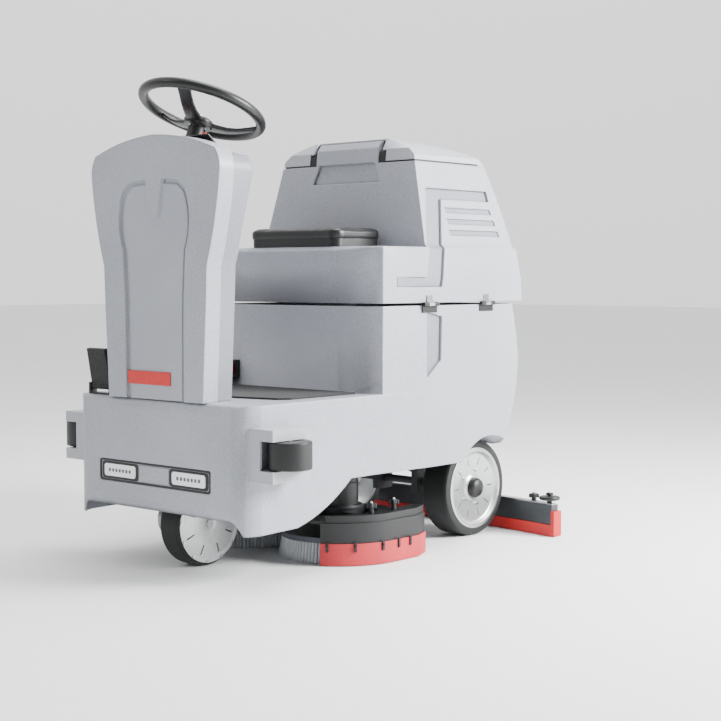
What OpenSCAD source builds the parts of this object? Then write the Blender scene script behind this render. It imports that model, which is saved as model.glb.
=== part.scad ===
// Ride-on floor scrubber with a tilting recovery tank, twin disc brushes and a rear squeegee.
// Millimetres. +Z is up and the machine drives towards -Y; the driver's left is +X.
// The origin is on the floor, in the middle of the machine's overall box.

/* [Overall] */
// Length from the nose to the back of the squeegee
overall_l = 1250; // [1100:10:1500]
// Width across the squeegee
overall_w = 1000; // [830:10:1200]
// Height to the top of the steering wheel
overall_h = 1320; // [1280:10:1580]

/* [Bodywork] */
// Width of the body behind the footwell
body_w = 700; // [680:5:760]
// Wall thickness of the moulded shells
wall = 8; // [5:1:10]
// Height of the footwell floor
platform_z = 465; // [440:5:500]
// Distance from the nose to the front of the tank
tank_start = 515; // [500:5:560]
// Height of the split between the two tanks
split_z = 714; // [660:5:760]
// Black gap left at the split between the two tanks
split_gap = 8; // [6:1:12]
// Height of the deck that carries the seat, above the split
deck_rise = 164; // [140:4:190]
// Height of the tall rear tank above the seat deck
back_rise = 252; // [200:4:300]
// Height of the lid's dome
lid_rise = 80; // [60:2:90]
// Ground clearance under the nose
nose_clearance = 130; // [110:5:160]
// Height of the lower edge of the flanks
flank_z = 243; // [236:1:260]

/* [Steering] */
// Radius of the steering wheel's rim, to the middle of the grip
wheel_rim_r = 165; // [150:5:180]
// Radius of the grip
grip_r = 14; // [11:1:16]
// Lean of the steering shaft towards the driver, in degrees
shaft_lean = 21; // [15:1:25]
// Fork sprocket radius over shaft sprocket radius
steer_ratio = 3; // [2.5:0.5:3.5]

/* [Wheels] */
// Radius of the rear wheels
rear_r = 147; // [135:1:155]
// Width of the rear tyres
rear_w = 96; // [80:2:105]
// Distance of a rear tyre's outer face from the centre line
rear_out = 296; // [280:2:310]
// Radius of the front wheel
front_r = 117; // [105:1:125]
// Width of the front tyre
front_w = 76; // [60:2:84]

/* [Brushes] */
// Radius of each disc brush
brush_r = 178; // [165:1:182]
// Distance of a brush's centre from the centre line
brush_x = 185; // [184:1:190]
// Height of the brush deck's plate
deck_plate_z = 112; // [104:1:120]

/* [Squeegee] */
// How far the squeegee's ends sweep forward
squeegee_sweep = 50; // [30:2:60]
// Height of the squeegee's body
squeegee_h = 96; // [80:2:110]

/* [Seat] */
// Width of the seat pad
seat_w = 384; // [320:4:440]
// Length of the seat pad
seat_l = 222; // [180:4:226]
// Thickness of the seat pad
seat_t = 34; // [25:1:60]

/* [Hidden] */
$fn = 48;

big = 3000;
fit = 0.05;        // radial clearance of a shaft in its bore
gap = 0.3;         // clearance between pieces that move past each other
touch = 0.2;       // gap between pieces that are seated on each other
nose_y = -overall_l / 2;
tail_y = overall_l / 2;
tank_y = nose_y + tank_start;
back_y = tank_y + 232;
half_w = body_w / 2;
nose_half_w = half_w - 5;
front_half_w = half_w - 12;
deck_z = split_z + deck_rise;
rim_z = deck_z + back_rise;
lid_top = rim_z + lid_rise;
lower_top = split_z - split_gap / 2;
upper_bottom = split_z + split_gap / 2;
bulge_y = tail_y - 21;
upper_back_y = tail_y - 55;
top_back_y = tail_y - 141;
top_half_w = half_w - 84;
seat_half_w = half_w - 24;
axle_y = tail_y - 215;
fork_y = nose_y + 168;
brush_y = tank_y + 25;
rail_x = 80;
rail_w = 40;
rail_bottom = 250;
rail_top = 290;
plate_t = 10;
head_z = rail_top;
steel_grey = [0.30, 0.31, 0.32];
dark = [0.13, 0.15, 0.16];
shell = [0.79, 0.80, 0.83];
red = [0.90, 0.16, 0.18];
bright = [0.80, 0.80, 0.82];

// ---------- curves and shared shapes ----------

// Points from p to q that bow out by s to the right of the way there.
function bow(p, q, s, n = 8) =
    let (d = q - p, m = [d[1], -d[0]] / norm(d))
    [for (i = [0:n]) p + d * i / n + m * 4 * s * (i / n) * (1 - i / n)];
// Points of an arc about c.
function arc(c, r, a0, a1, n = 8) =
    [for (i = [0:n]) let (a = a0 + (a1 - a0) * i / n) c + r * [cos(a), sin(a)]];
// The half outline h (x >= 0) and its mirror image.
function both(h) = concat(h, [for (i = [len(h) - 1:-1:0]) [-h[i][0], h[i][1]]]);

// A side profile in (y, z), w wide and centred on x.
module side_profile(w, x = 0) {
    translate([x, 0, 0]) rotate([90, 0, 90]) linear_extrude(w, center = true) children();
}
// A front profile in (x, z) from y0 to y1.
module front_profile(y0, y1) {
    translate([0, y1, 0]) rotate([90, 0, 0]) linear_extrude(y1 - y0) children();
}
module block(x, y, z) {
    translate([x[0], y[0], z[0]]) cube([x[1] - x[0], y[1] - y[0], z[1] - z[0]]);
}
module rod_x(x, y, z, r) {
    translate([x[0], y, z]) rotate([0, 90, 0]) cylinder(h = x[1] - x[0], r = r);
}
module rod_y(x, y, z, r) {
    translate([x, y[0], z]) rotate([-90, 0, 0]) cylinder(h = y[1] - y[0], r = r);
}
module rod_z(x, y, z, r) {
    translate([x, y, z[0]]) cylinder(h = z[1] - z[0], r = r);
}
module pair() {
    children();
    mirror([1, 0, 0]) children();
}
// s = 1 draws the +X (left) piece, s = -1 its mirror image.
module on_side(s) {
    mirror([s < 0 ? 1 : 0, 0, 0]) children();
}
// A turned ring about the X axis at (y, z): points are (radius, x).
module turned_x(x, y, z, points, facets = 96) {
    translate([x, y, z]) rotate([0, 90, 0]) rotate_extrude($fn = facets) polygon(points);
}
// A plain round tyre w wide: r outside, bore r_in, its outer face at x.
module tyre(x, y, z, r, r_in, w) {
    s = w / 8;
    turned_x(x - w, y, z, [[r_in, 0], [r - s, 0], [r, s], [r, w - s], [r - s, w], [r_in, w]]);
}

// ---------- chassis ----------

mast_x = 47;
steer_top = [0, nose_y + 185, overall_h - grip_r - wheel_rim_r * sin(shaft_lean)];
ball_t = 235;
ball = steer_top - ball_t * [0, sin(shaft_lean), cos(shaft_lean)];
post_top = ball[2] - 42.5;
lower_r = 10;
stem_r = 18;
axle_r = 12;
arm_pivot_y = brush_y + 225;
arm_pivot_z = 268;
tow_pivot_y = axle_y - 108;
tow_pivot_z = 268;
pivot_r = 8;
arm_x = 42;
arm_t = 12;

module chassis_frame() {
    color(steel_grey) difference() {
        union() {
            pair() block([rail_x - rail_w / 2, rail_x + rail_w / 2], [fork_y + 57, axle_y + 68],
                [rail_bottom, rail_top]);
            // cross beams that carry the body
            block([-front_half_w + wall + touch + 4, front_half_w - wall - touch - 4],
                [fork_y + 64, fork_y + 104], [rail_bottom, rail_top]);
            block([-front_half_w + wall + touch + 4, front_half_w - wall - touch - 4],
                [axle_y - 245, axle_y - 205], [rail_bottom, rail_top]);
            block([-rail_x, rail_x], [axle_y + 44, axle_y + 68], [rail_bottom, rail_top]);
            // head plate and steering mast
            block([-rail_x - 20, rail_x + 20], [fork_y - 105, fork_y + 104],
                [head_z, head_z + plate_t]);
            pair() block([mast_x, mast_x + 14], [ball[1] - 30, ball[1] - 14],
                [head_z + plate_t, post_top]);
            block([-mast_x - 14, mast_x + 14], [ball[1] - 30, ball[1] + 14],
                [post_top - plate_t, post_top]);
            // guides under the steering chain
            pair() block([sprocket_r * 2 + 4, sprocket_r * 2 + 12],
                [ball[1] + centre_gap / 2 - 6, ball[1] + centre_gap / 2 + 4],
                [head_z + plate_t - 1, head_z + plate_t + 7 - touch]);
            // hangers and the rear axle
            pair() block([rail_x - 12, rail_x + 12], [axle_y - 34, axle_y + 34],
                [rear_r - 34, rail_bottom]);
            rod_x([-rear_out - 6, rear_out + 6], axle_y, rear_r, axle_r);
            // pivot rods of the deck arms and of the squeegee arms
            rod_x([-rail_x, rail_x], arm_pivot_y, arm_pivot_z, pivot_r);
            rod_x([-rail_x, rail_x], tow_pivot_y, tow_pivot_z, pivot_r);
        }
        rod_z(0, fork_y, [0, big], stem_r + fit);
        rod_z(0, ball[1], [0, head_z + plate_t + 1], lower_r + fit);
        rod_z(0, ball[1], [post_top - 20, big], lower_r + fit);
    }
}

// ---------- lower body ----------

arch_r = rear_r + 18;
corner_r = 80;

// Right half of the body's plan outline (x, y), its front at y0 and moved in by t.
function plan_half(t) = concat(
    [[0, nose_y + t], [nose_half_w - 130, nose_y + t]],
    bow([nose_half_w - 62, nose_y + 4 + t], [nose_half_w - t, nose_y + 66], 16),
    [[front_half_w - t, tank_y], [half_w - t, back_y], [half_w - t, tail_y]]);
// Right half of the tank's plan outline: the front face turns back towards its corners.
function tank_half(t) = concat(
    [[0, tank_y + t], [half_w - 160, tank_y + 3 + t]],
    bow([half_w - 150, tank_y + 5 + t], [front_half_w - t, tank_y + 34], 10),
    [[half_w - t, back_y], [half_w - t, tail_y]]);
// Rear edge of the lower body (y, z) from the bottom up.
function rear_edge(t) = concat(
    bow([bulge_y - 107 - t, rail_bottom - 7], [bulge_y - t, split_z - 170], 26),
    bow([bulge_y - t, split_z - 170], [bulge_y - 34 - t, lower_top], 3));

// Rounds the two rear corners of a body hw wide with radius r: edge is its rear edge in (y, z).
module rear_rounding(edge, hw, r) {
    last = len(edge) - 1;
    intersection_for(a = [20, 45, 70], s = [-1, 1]) rotate([0, 0, -s * a]) {
        reach = (hw - r) * sin(a) + r * (1 - cos(a));
        side_profile(big) polygon(concat(
            [[-big, 0], [edge[0][0] * cos(a) + reach, 0]],
            [for (p = edge) [p[0] * cos(a) + reach, p[1]]],
            [[edge[last][0] * cos(a) + reach, edge[last][1] + wall],
                [-big, edge[last][1] + wall]]));
    }
}

module body_profile(t) {
    polygon(concat(
        [[nose_y + t + 25, t > 0 ? 0 : nose_clearance], [nose_y + t, nose_clearance + 70],
            [nose_y + t, platform_z - 30], [nose_y + t + 8, platform_z - 8 - t],
            [nose_y + t + 24, platform_z - t], [tank_y + t, platform_z - t],
            [tank_y + t, lower_top + t]],
        [for (p = [len(rear_edge(t)) - 1:-1:0])
            rear_edge(t)[p] + [0, p == len(rear_edge(t)) - 1 ? t : 0]],
        t > 0 ? [[bulge_y - 107 - t, 0]] : concat(
            [[bulge_y - 107, flank_z], [brush_y - 125, flank_z]],
            bow([brush_y - 125, flank_z], [nose_y + 200, nose_clearance + 4], -14))));
}

module lower_body() {
    mat_w = front_half_w - 70;
    color(shell) difference() {
        intersection() {
            side_profile(body_w) body_profile(0);
            rear_rounding(rear_edge(0), half_w, corner_r);
            linear_extrude(lower_top) polygon(both(plan_half(0)));
            union() {
                linear_extrude(platform_z) square(big, center = true);
                linear_extrude(lower_top) polygon(both(tank_half(0)));
            }
        }
        intersection() {
            side_profile(body_w) body_profile(wall);
            rear_rounding(rear_edge(wall), half_w - wall, corner_r - wall);
            linear_extrude(big) polygon(both(plan_half(wall)));
            union() {
                linear_extrude(platform_z - wall) square(big, center = true);
                linear_extrude(big) polygon(both(tank_half(wall)));
            }
        }
        // wheel arches
        pair() rod_x([rear_out - rear_w - 16, half_w + 1], axle_y, rear_r, arch_r);
        // passage for the steering shaft and for the mast
        block([-mast_x - 20, mast_x + 20], [ball[1] - 36, ball[1] + 36],
            [platform_z - 20, platform_z + 1]);
        // lamp recess
        block([-225, 225], [nose_y - 1, nose_y + 3], [232, 294]);
    }
}

module floor_mat() {
    color(dark) translate([0, 0, platform_z + touch]) linear_extrude(5)
        polygon(both([[0, tank_y - 330], [130, tank_y - 330], [front_half_w - 88, tank_y - 300],
            [front_half_w - 62, tank_y - 270], [front_half_w - 62, tank_y - 12],
            [0, tank_y - 12]]));
}

// ---------- steering column ----------

column_y0 = nose_y + 7;
column_seam = column_y0 + 54;
column_y1 = column_y0 + 118;
column_top = overall_h - 152;
head_start = column_top - 347;
// Right half of the column's front outline (x, z), moved in by t.
function column_half(t) = concat(
    [[0, platform_z + touch], [189 - t, platform_z + touch]],
    [[203 - t, head_start - 90]],
    bow([206 - t, head_start], [257 - t, column_top - 99], 7),
    bow([257 - t, column_top - 99], [242 - t, column_top - 50 - t / 2], 4),
    bow([238 - t, column_top - 46 - t], [0, column_top - t], 10));
// Half outline of the recessed panel in the front face.
function panel_half() = concat(
    [[0, platform_z - 1], [116, platform_z - 1], [118, head_start - 90]],
    bow([126, head_start + 42], [126, head_start + 205], 16),
    [[95, head_start + 226], [0, head_start + 232]]);

module column_front_cover() {
    panel = 6;
    color(shell) difference() {
        front_profile(column_y0, column_seam - 2) polygon(both(column_half(0)));
        front_profile(column_y0 + wall + panel, big) polygon(both(column_half(wall)));
        difference() {
            front_profile(column_y0 - 1, column_y0 + panel) polygon(both(panel_half()));
            // tapering tab at the top of the panel
            front_profile(column_y0 - 2, column_y0 + panel + 1)
                polygon([[-18, head_start + 130], [18, head_start + 130],
                    [34, head_start + 240], [-34, head_start + 240]]);
        }
    }
}

module column_rear_cover() {
    step = 16;
    color([0.70, 0.72, 0.75]) difference() {
        intersection() {
            front_profile(column_seam, column_y1 + 20)
                polygon(both(column_half(step)));
            side_profile(big) polygon(concat(
                [[column_seam, 0], [column_y1, 0], [column_y1, head_start + 40]],
                bow([column_y1, head_start + 40], [column_y1 + 16, column_top - 110], -6),
                [[column_y1 + 12, column_top - 62], [column_seam, column_top]]));
        }
        intersection() {
            front_profile(-big, column_y1 - wall) polygon(both(column_half(step + wall)));
            side_profile(big) polygon([[column_seam - 1, 0], [column_y1 - wall, 0],
                [column_y1 - wall, column_top - 75], [column_seam - 1, column_top - 14]]);
        }
        // passage of the steering jacket
        translate(steer_top) rotate([-shaft_lean, 0, 0])
            translate([0, 0, -ball_t - 40]) cylinder(h = ball_t + 40, r = 24 + touch);
    }
}

module badge_plate() {
    color(red) translate([-26, 0, platform_z + 57])
        block([-86, 86], [column_y0 + 6 - 3, column_y0 + 6 - touch], [-18, 18]);
}

module headlamp_bezel() {
    color(dark) difference() {
        block([-224, 224], [nose_y + touch, nose_y + 3 - touch + 0.1], [233, 293]);
        pair() block([72, 206], [nose_y - 1, nose_y + 10], [244, 282]);
    }
}
module headlamp_lenses() {
    color([0.92, 0.94, 0.96]) pair()
        block([72 + touch, 206 - touch], [nose_y + 0.5, nose_y + 3 - touch],
            [244 + touch, 282 - touch]);
}

panel_tilt = atan2(62, column_y1 + 12 - column_seam);
module on_panel(x, s) {
    // a frame on the sloping top of the rear cover: s runs down the slope
    translate([x, column_seam, column_top]) rotate([-panel_tilt, 0, 0])
        translate([0, s, touch]) children();
}
module control_panel() {
    color(dark) on_panel(0, 8) difference() {
        translate([-150, 0, 0]) cube([300, 52, 4]);
        translate([-110, 26, -1]) cylinder(h = 6, r = 7 + gap);
        translate([110, 26, -1]) cylinder(h = 6, r = 12 + gap);
    }
}
module ignition_key() {
    color(bright) on_panel(-110, 34) {
        cylinder(h = 8, r = 7);
        translate([-2, -10, 7]) cube([4, 20, 16]);
    }
}
module stop_button() {
    travel = 4;
    color(red) on_panel(110, 34) {
        translate([0, 0, travel + gap]) cylinder(h = 14 - travel - gap, r = 12);
        translate([0, 0, 12]) cylinder(h = 8, r = 17);
    }
}

module steering_jacket() {
    color(dark) difference() {
        translate(steer_top) rotate([-shaft_lean, 0, 0])
            translate([0, 0, -ball_t - 40]) cylinder(h = ball_t - 14, r = 24);
        translate(steer_top) rotate([-shaft_lean, 0, 0])
            translate([0, 0, -ball_t - 60]) cylinder(h = ball_t + 40, r = 19);
        block([-50, 50], [-big, big], [0, post_top + touch]);
        rod_z(0, ball[1], [0, ball[2] - 5], lower_r + 5);
    }
}

module lean(d) {
    translate(steer_top) rotate([-shaft_lean, 0, 0]) translate([0, 0, d]) children();
}
module steering_wheel() {
    color(dark) lean(0) difference() {
        union() {
            rotate_extrude($fn = 96) translate([wheel_rim_r, 0]) circle(r = grip_r, $fn = 24);
            translate([0, 0, -50]) cylinder(h = 24, r = 38);
            for (a = [-63, 57, 177]) rotate([0, 0, a]) {
                translate([26, -24, -46]) cube([wheel_rim_r - 86, 48, 12]);
                translate([wheel_rim_r - 70, -23, -45]) rotate([0, -34, 0])
                    cube([74, 46, 11]);
            }
        }
        translate([0, 0, -60]) cylinder(h = 40, r = 24 + gap);
    }
}
module horn_button() {
    color(bright) lean(-26) translate([0, 0, -3.5]) cylinder(h = 10, r = 22);
}
module steering_shaft() {
    color(bright) difference() {
        union() {
            lean(-50) cylinder(h = 18, r = 24 + gap - touch);
            lean(-ball_t + 4) cylinder(h = ball_t - 54, r = 10);
            lean(-ball_t - 2) cylinder(h = 22, r = 17.5);
        }
        translate(ball) sphere(r = 13 + gap);
        lean(-ball_t - 10) cylinder(h = 10, r = 17);
    }
}
module steering_lower_shaft() {
    sprocket = [head_z + plate_t + 6, head_z + plate_t + 14];
    color(bright) {
        translate(ball) sphere(r = 13);
        rod_z(0, ball[1], [head_z - 5, ball[2] - 4], lower_r);
        rod_z(0, ball[1], sprocket, sprocket_r);
    }
}
centre_gap = fork_y - ball[1];
sprocket_r = 15;
// Outline of a band round two circles on the Y axis: r1 at the origin and r2 at distance d.
function band(r1, r2, d) = let (b = acos((r1 - r2) / d))
    concat(arc([0, 0], r1, 90 + b, 450 - b, 20), arc([0, d], r2, 90 - b, 90 + b, 20));
module steering_chain() {
    z = head_z + plate_t + 7;
    color(steel_grey) translate([0, ball[1], z]) linear_extrude(6) difference() {
        polygon(band(sprocket_r + 5, sprocket_r * steer_ratio + 5, centre_gap));
        polygon(band(sprocket_r + gap + 0.3, sprocket_r * steer_ratio + gap + 0.3, centre_gap));
    }
}

// ---------- front drive wheel ----------

crown_z = 236;
module front_fork() {
    color([0.62, 0.63, 0.66]) difference() {
        union() {
            rod_z(0, fork_y, [crown_z, head_z + plate_t + 40], stem_r);
            rod_z(0, fork_y, [crown_z, head_z - gap], 30);
            rod_z(0, fork_y, [head_z + plate_t + 6, head_z + plate_t + 14],
                sprocket_r * steer_ratio);
            block([-62, 44], [fork_y - 45, fork_y + 45], [crown_z, crown_z + 12]);
            block([-60, -46], [fork_y - 45, fork_y + 45], [front_r - 50, crown_z + 1]);
            block([-60, 44], [fork_y + front_r + 6, fork_y + front_r + 18],
                [front_r - 40, front_r + 30]);
            block([-60, -46], [fork_y + 20, fork_y + front_r + 18],
                [front_r - 40, front_r + 30]);
            rod_x([-60, front_w / 2 + 4], fork_y, front_r, axle_r);
        }
    }
}
module drive_motor() {
    color([0.66, 0.67, 0.70]) {
        turned_x(-132, fork_y, front_r, [[0, 0], [40, 0], [52, 14], [52, 72 - touch],
            [0, 72 - touch]], 64);
        rod_x([-146, -132], fork_y, front_r, 26);
    }
}
module front_tyre() {
    color(dark) tyre(front_w / 2, fork_y, front_r, front_r, front_r - 20, front_w);
}
module front_rim() {
    w = front_w;
    r = front_r - 20;
    color(bright) difference() {
        turned_x(-w / 2, fork_y, front_r, [[axle_r + fit, 8], [r, 8], [r, w - 2], [r - 8, w],
            [r - 16, w - 10], [34, w - 4], [30, w], [axle_r + fit, w]]);
        for (i = [0:7]) rotate_about_x(fork_y, front_r, i * 45)
            rod_x([w / 2 - 14, w / 2 + 5], fork_y, front_r + 66, 6);
    }
}
module rotate_about_x(y, z, a) {
    translate([0, y, z]) rotate([a, 0, 0]) translate([0, -y, -z]) children();
}

// ---------- rear wheels ----------

rear_bore = rear_r - 24;
module rear_tyre(s) {
    color(dark) on_side(s) tyre(rear_out, axle_y, rear_r, rear_r, rear_bore, rear_w);
}
module rear_rim(s) {
    w = rear_w;
    color(bright) on_side(s) difference() {
        turned_x(rear_out - w, axle_y, rear_r, [[axle_r + fit, 4], [40, 4], [44, w - 30],
            [rear_bore - 10, w - 22], [rear_bore - 6, 2], [rear_bore, 2], [rear_bore, w - 3],
            [rear_bore - 5, w + 1], [rear_bore - 12, w - 4], [40, w - 12], [34, w - 8],
            [axle_r + fit, w - 8]]);
        for (i = [0:9]) rotate_about_x(axle_y, rear_r, i * 36)
            rod_x([rear_out - 40, rear_out + 5], axle_y, rear_r + 84, 5);
    }
}
module hub_cap(s) {
    color(dark) on_side(s) difference() {
        turned_x(rear_out - 8 + touch, axle_y, rear_r, [[0, 0], [30, 0], [30, 18], [24, 24],
            [0, 24]], 64);
        rod_x([0, rear_out + 8], axle_y, rear_r, axle_r + 1);
    }
}

// ---------- guide rollers ----------

roller_r = 58;
roller_h = 72;
roller_pin_r = 6;
roller_x = nose_half_w + roller_r + 7;
roller_y = nose_y + 102;
roller_z = 341;
module roller_brackets() {
    reach = roller_x + 8;
    half_l = roller_r + 11;
    plate = 32;
    color([0.60, 0.62, 0.65]) pair() {
        difference() {
            block([nose_half_w - 12, reach], [roller_y - half_l, roller_y + half_l],
                [roller_z - roller_h / 2 - plate, roller_z + roller_h / 2 + plate]);
            block([0, reach + 1], [roller_y - roller_r - 3, roller_y + roller_r + 3],
                [roller_z - roller_h / 2 - 2, roller_z + roller_h / 2 + 2]);
            // front and rear walls stop short of the roller's axis
            block([nose_half_w + 26, reach + 1], [roller_y - half_l - 1, roller_y + half_l + 1],
                [roller_z - roller_h / 2 - 2, roller_z + roller_h / 2 + 2]);
            linear_extrude(big) polygon(both(plan_half(-touch)));
        }
        rod_z(roller_x, roller_y, [roller_z - roller_h / 2 - 3, roller_z + roller_h / 2 + 3],
            roller_pin_r);
    }
}
module guide_roller(s) {
    color(dark) on_side(s) difference() {
        rod_z(roller_x, roller_y, [roller_z - roller_h / 2, roller_z + roller_h / 2],
            roller_r);
        rod_z(roller_x, roller_y, [0, big], roller_pin_r + fit);
    }
}

// ---------- pedal, connector, batteries and pump ----------

pedal_x = [-300, -222];
pedal_y = nose_y + 42;
pedal_z = platform_z + 22;
pedal_lean = 10;
module pedal_bracket() {
    color(steel_grey) {
        for (x = [pedal_x[0] - 8, pedal_x[1] + 2 * gap])
            block([x, x + 8 - 2 * gap], [pedal_y - 12, pedal_y + 12],
                [platform_z + touch, pedal_z + 10]);
        block([pedal_x[0] - 8, pedal_x[1] + 8], [pedal_y - 12, pedal_y + 12],
            [platform_z + touch, platform_z + 5]);
        rod_x([pedal_x[0] - 4, pedal_x[1] + 4], pedal_y, pedal_z, 4);
    }
}
module accelerator_pedal() {
    color(dark) difference() {
        translate([0, pedal_y, pedal_z]) rotate([pedal_lean, 0, 0]) union() {
            rod_x([pedal_x[0] + gap, pedal_x[1] - gap], 0, 0, 9);
            block([pedal_x[0] + gap, pedal_x[1] - gap], [-6, 6], [0, 108]);
            for (i = [0:6]) block([pedal_x[0] + 6, pedal_x[1] - 6], [5, 10],
                [34 + i * 10, 39 + i * 10]);
        }
        rod_x([pedal_x[0] - 20, pedal_x[1] + 20], pedal_y, pedal_z, 4 + fit);
    }
}

socket_x = -236;
socket_z = platform_z + 52;
module connector_socket() {
    color(dark) difference() {
        block([socket_x - 32, socket_x + 32], [tank_y - 14, tank_y + 20],
            [socket_z - 26, socket_z + 26]);
        linear_extrude(big) polygon(both(tank_half(-touch)));
        block([socket_x - 22, socket_x + 22], [tank_y - 15, tank_y - 4],
            [socket_z - 16, socket_z + 16]);
    }
}
module connector_plug() {
    color(red) {
        block([socket_x - 22 + gap, socket_x + 22 - gap], [tank_y - 30, tank_y - 4 - touch],
            [socket_z - 16 + gap, socket_z + 16 - gap]);
        block([socket_x - 26, socket_x + 26], [tank_y - 44, tank_y - 29],
            [socket_z - 22, socket_z + 22]);
    }
}
module batteries() {
    battery = [250, 180, 270];
    color(dark) for (i = [0, 1], s = [-1, 1])
        translate([s * (battery[0] / 2 + 4) - battery[0] / 2, tank_y + 50 + i * (battery[1] + 8),
            rail_top + touch]) {
            cube(battery);
            translate([30, 40, battery[2] - 1]) cube([24, 24, 16]);
            translate([battery[0] - 54, 40, battery[2] - 1]) cube([24, 24, 16]);
        }
}
module solution_pump() {
    color(dark) {
        block([150, 230], [fork_y + 68, fork_y + 100], [rail_top + touch, rail_top + 60]);
        rod_x([230, 290], fork_y + 84, rail_top + 34, 22);
    }
}

// ---------- recovery tank, seat and lid ----------

hinge_x = half_w + 7;
hinge_ys = [back_y - 8, back_y + 262];
knuckle_r = 6;
pin_r = 3;
module hinge_leaves_body() {
    color(bright) for (y = hinge_ys) {
        difference() {
            union() {
                for (e = [[-33, -12], [12, 33]])
                    rod_y(hinge_x, [y + e[0], y + e[1]], split_z, knuckle_r);
                block([half_w + touch, half_w + 3], [y - 33, y + 33],
                    [split_z - 24, split_z - knuckle_r - 1]);
                for (e = [[-33, -12], [12, 33]])
                    block([half_w + touch, half_w + 3], [y + e[0], y + e[1]],
                        [split_z - knuckle_r - 2, split_z]);
            }
        }
        rod_y(hinge_x, [y - 33, y + 33], split_z, pin_r);
    }
}
module hinge_leaves_tank() {
    color(bright) for (y = hinge_ys) difference() {
        union() {
            rod_y(hinge_x, [y - 12 + gap, y + 12 - gap], split_z, knuckle_r);
            block([half_w + touch, half_w + 3], [y - 12 + gap, y + 12 - gap],
                [split_z, split_z + 26]);
        }
        rod_y(hinge_x, [y - 40, y + 40], split_z, pin_r + fit);
    }
}

// Rear edge of the upper tank (y, z) from the top down.
function upper_rear(t) = bow([top_back_y - t, rim_z], [upper_back_y - t, upper_bottom + t], -16);
module upper_profile(t) {
    polygon(concat(
        [[tank_y + 2 + t, upper_bottom + t], [tank_y + t, deck_z - 26],
            [tank_y + 4 + t, deck_z - 9], [tank_y + 18 + t, deck_z - t],
            [back_y + t, deck_z - t], [back_y + 26 + t, rim_z + (t > 0 ? 1 : 0)]],
        [[top_back_y - t, rim_z + (t > 0 ? 1 : 0)]], upper_rear(t)));
}
module upper_front(t) {
    polygon(both([[0, upper_bottom], [half_w - t, upper_bottom], [half_w - t, split_z + 76],
        [half_w - 10 - t, deck_z - 4], [seat_half_w - t, deck_z + 8],
        [top_half_w - t, rim_z + 2], [0, rim_z + 2]]));
}
tab_half_w = 124;
lug_x = [150, 190];
lid_pin_y = top_back_y + 9;
module recovery_tank() {
    color(shell) {
        difference() {
            intersection() {
                side_profile(big) upper_profile(0);
                front_profile(-big, big) upper_front(0);
                linear_extrude(big) polygon(both(tank_half(0)));
            }
            intersection() {
                side_profile(big) upper_profile(wall);
                front_profile(-big, big) upper_front(wall);
                linear_extrude(big) polygon(both(tank_half(wall)));
            }
        }
        // central tab in front of the lid
        side_profile(tab_half_w * 2) polygon([[back_y + 25, rim_z - 2],
            [back_y + 30, rim_z + lid_rise - 34], [back_y + 46, rim_z + lid_rise - 14],
            [back_y + 58, rim_z + lid_rise - 14], [back_y + 42, rim_z + 2],
            [back_y + 33, rim_z - 2]]);
        // lugs and pins of the lid hinge
        pair() {
            block([lug_x[0], lug_x[0] + 14], [top_back_y - 4, lid_pin_y + 6],
                [rim_z - 16, rim_z + 8]);
            rod_x([lug_x[0], lug_x[1]], lid_pin_y, rim_z + 4, pin_r);
        }
    }
}
module lid_shape(t) {
    base = rim_z + gap - (t > 0 ? 1 : 0);
    intersection() {
        side_profile(big) polygon(concat(
            [[back_y + 27 + t, base], [back_y + 32 + t, rim_z + lid_rise / 2 - t]],
            bow([back_y + 50 + t, lid_top - 6 - t], [top_back_y - 26 - t, rim_z + 26 - t], -8),
            [[top_back_y - t, base]]));
        front_profile(-big, big) polygon(both(concat(
            [[0, rim_z - 2], [top_half_w - t, rim_z - 2], [top_half_w - 4 - t, rim_z + 20 - t]],
            bow([top_half_w - 28 - t, rim_z + lid_rise / 2 - t], [0, lid_top - t], 17))));
    }
}
module tank_lid() {
    slot = 16;
    color([0.88, 0.89, 0.91]) difference() {
        union() {
            difference() {
                lid_shape(0);
                lid_shape(wall - 2);
                block([-tab_half_w - slot, tab_half_w + slot], [0, back_y + 62],
                    [rim_z - 5, lid_top + 5]);
            }
            // ears on the hinge pins
            pair() block([lug_x[0] + 14 + gap, lug_x[1]], [top_back_y - 20, lid_pin_y + 6],
                [rim_z + gap, rim_z + 10]);
        }
        pair() rod_x([lug_x[0] - 5, lug_x[1] + 5], lid_pin_y, rim_z + 4, pin_r + fit);
        pair() block([lug_x[0] - 3, lug_x[0] + 14 + gap], [top_back_y - 12, lid_pin_y + 20],
            [rim_z - 5, rim_z + 12]);
    }
}
module seat_pad() {
    c = 26;
    x = seat_w / 2;
    y0 = tank_y + 6;
    color(dark) translate([0, 0, deck_z + touch]) {
        linear_extrude(22) polygon(both([[0, y0 + 12], [x - 30, y0 + 12],
            [x - 12, y0 + 30], [x - 12, y0 + seat_l - 12], [0, y0 + seat_l - 12]]));
        translate([0, 0, 21]) linear_extrude(seat_t) polygon(both([[0, y0], [x - c, y0],
            [x, y0 + c], [x, y0 + seat_l - c], [x - c, y0 + seat_l], [0, y0 + seat_l]]));
    }
}
module vacuum_motor() {
    color(dark) {
        rod_z(0, back_y + 150, [upper_bottom + wall + touch, upper_bottom + wall + 120], 72);
        rod_z(0, back_y + 150, [upper_bottom + wall + 119, upper_bottom + wall + 170], 50);
    }
}

// ---------- brush deck ----------

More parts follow.
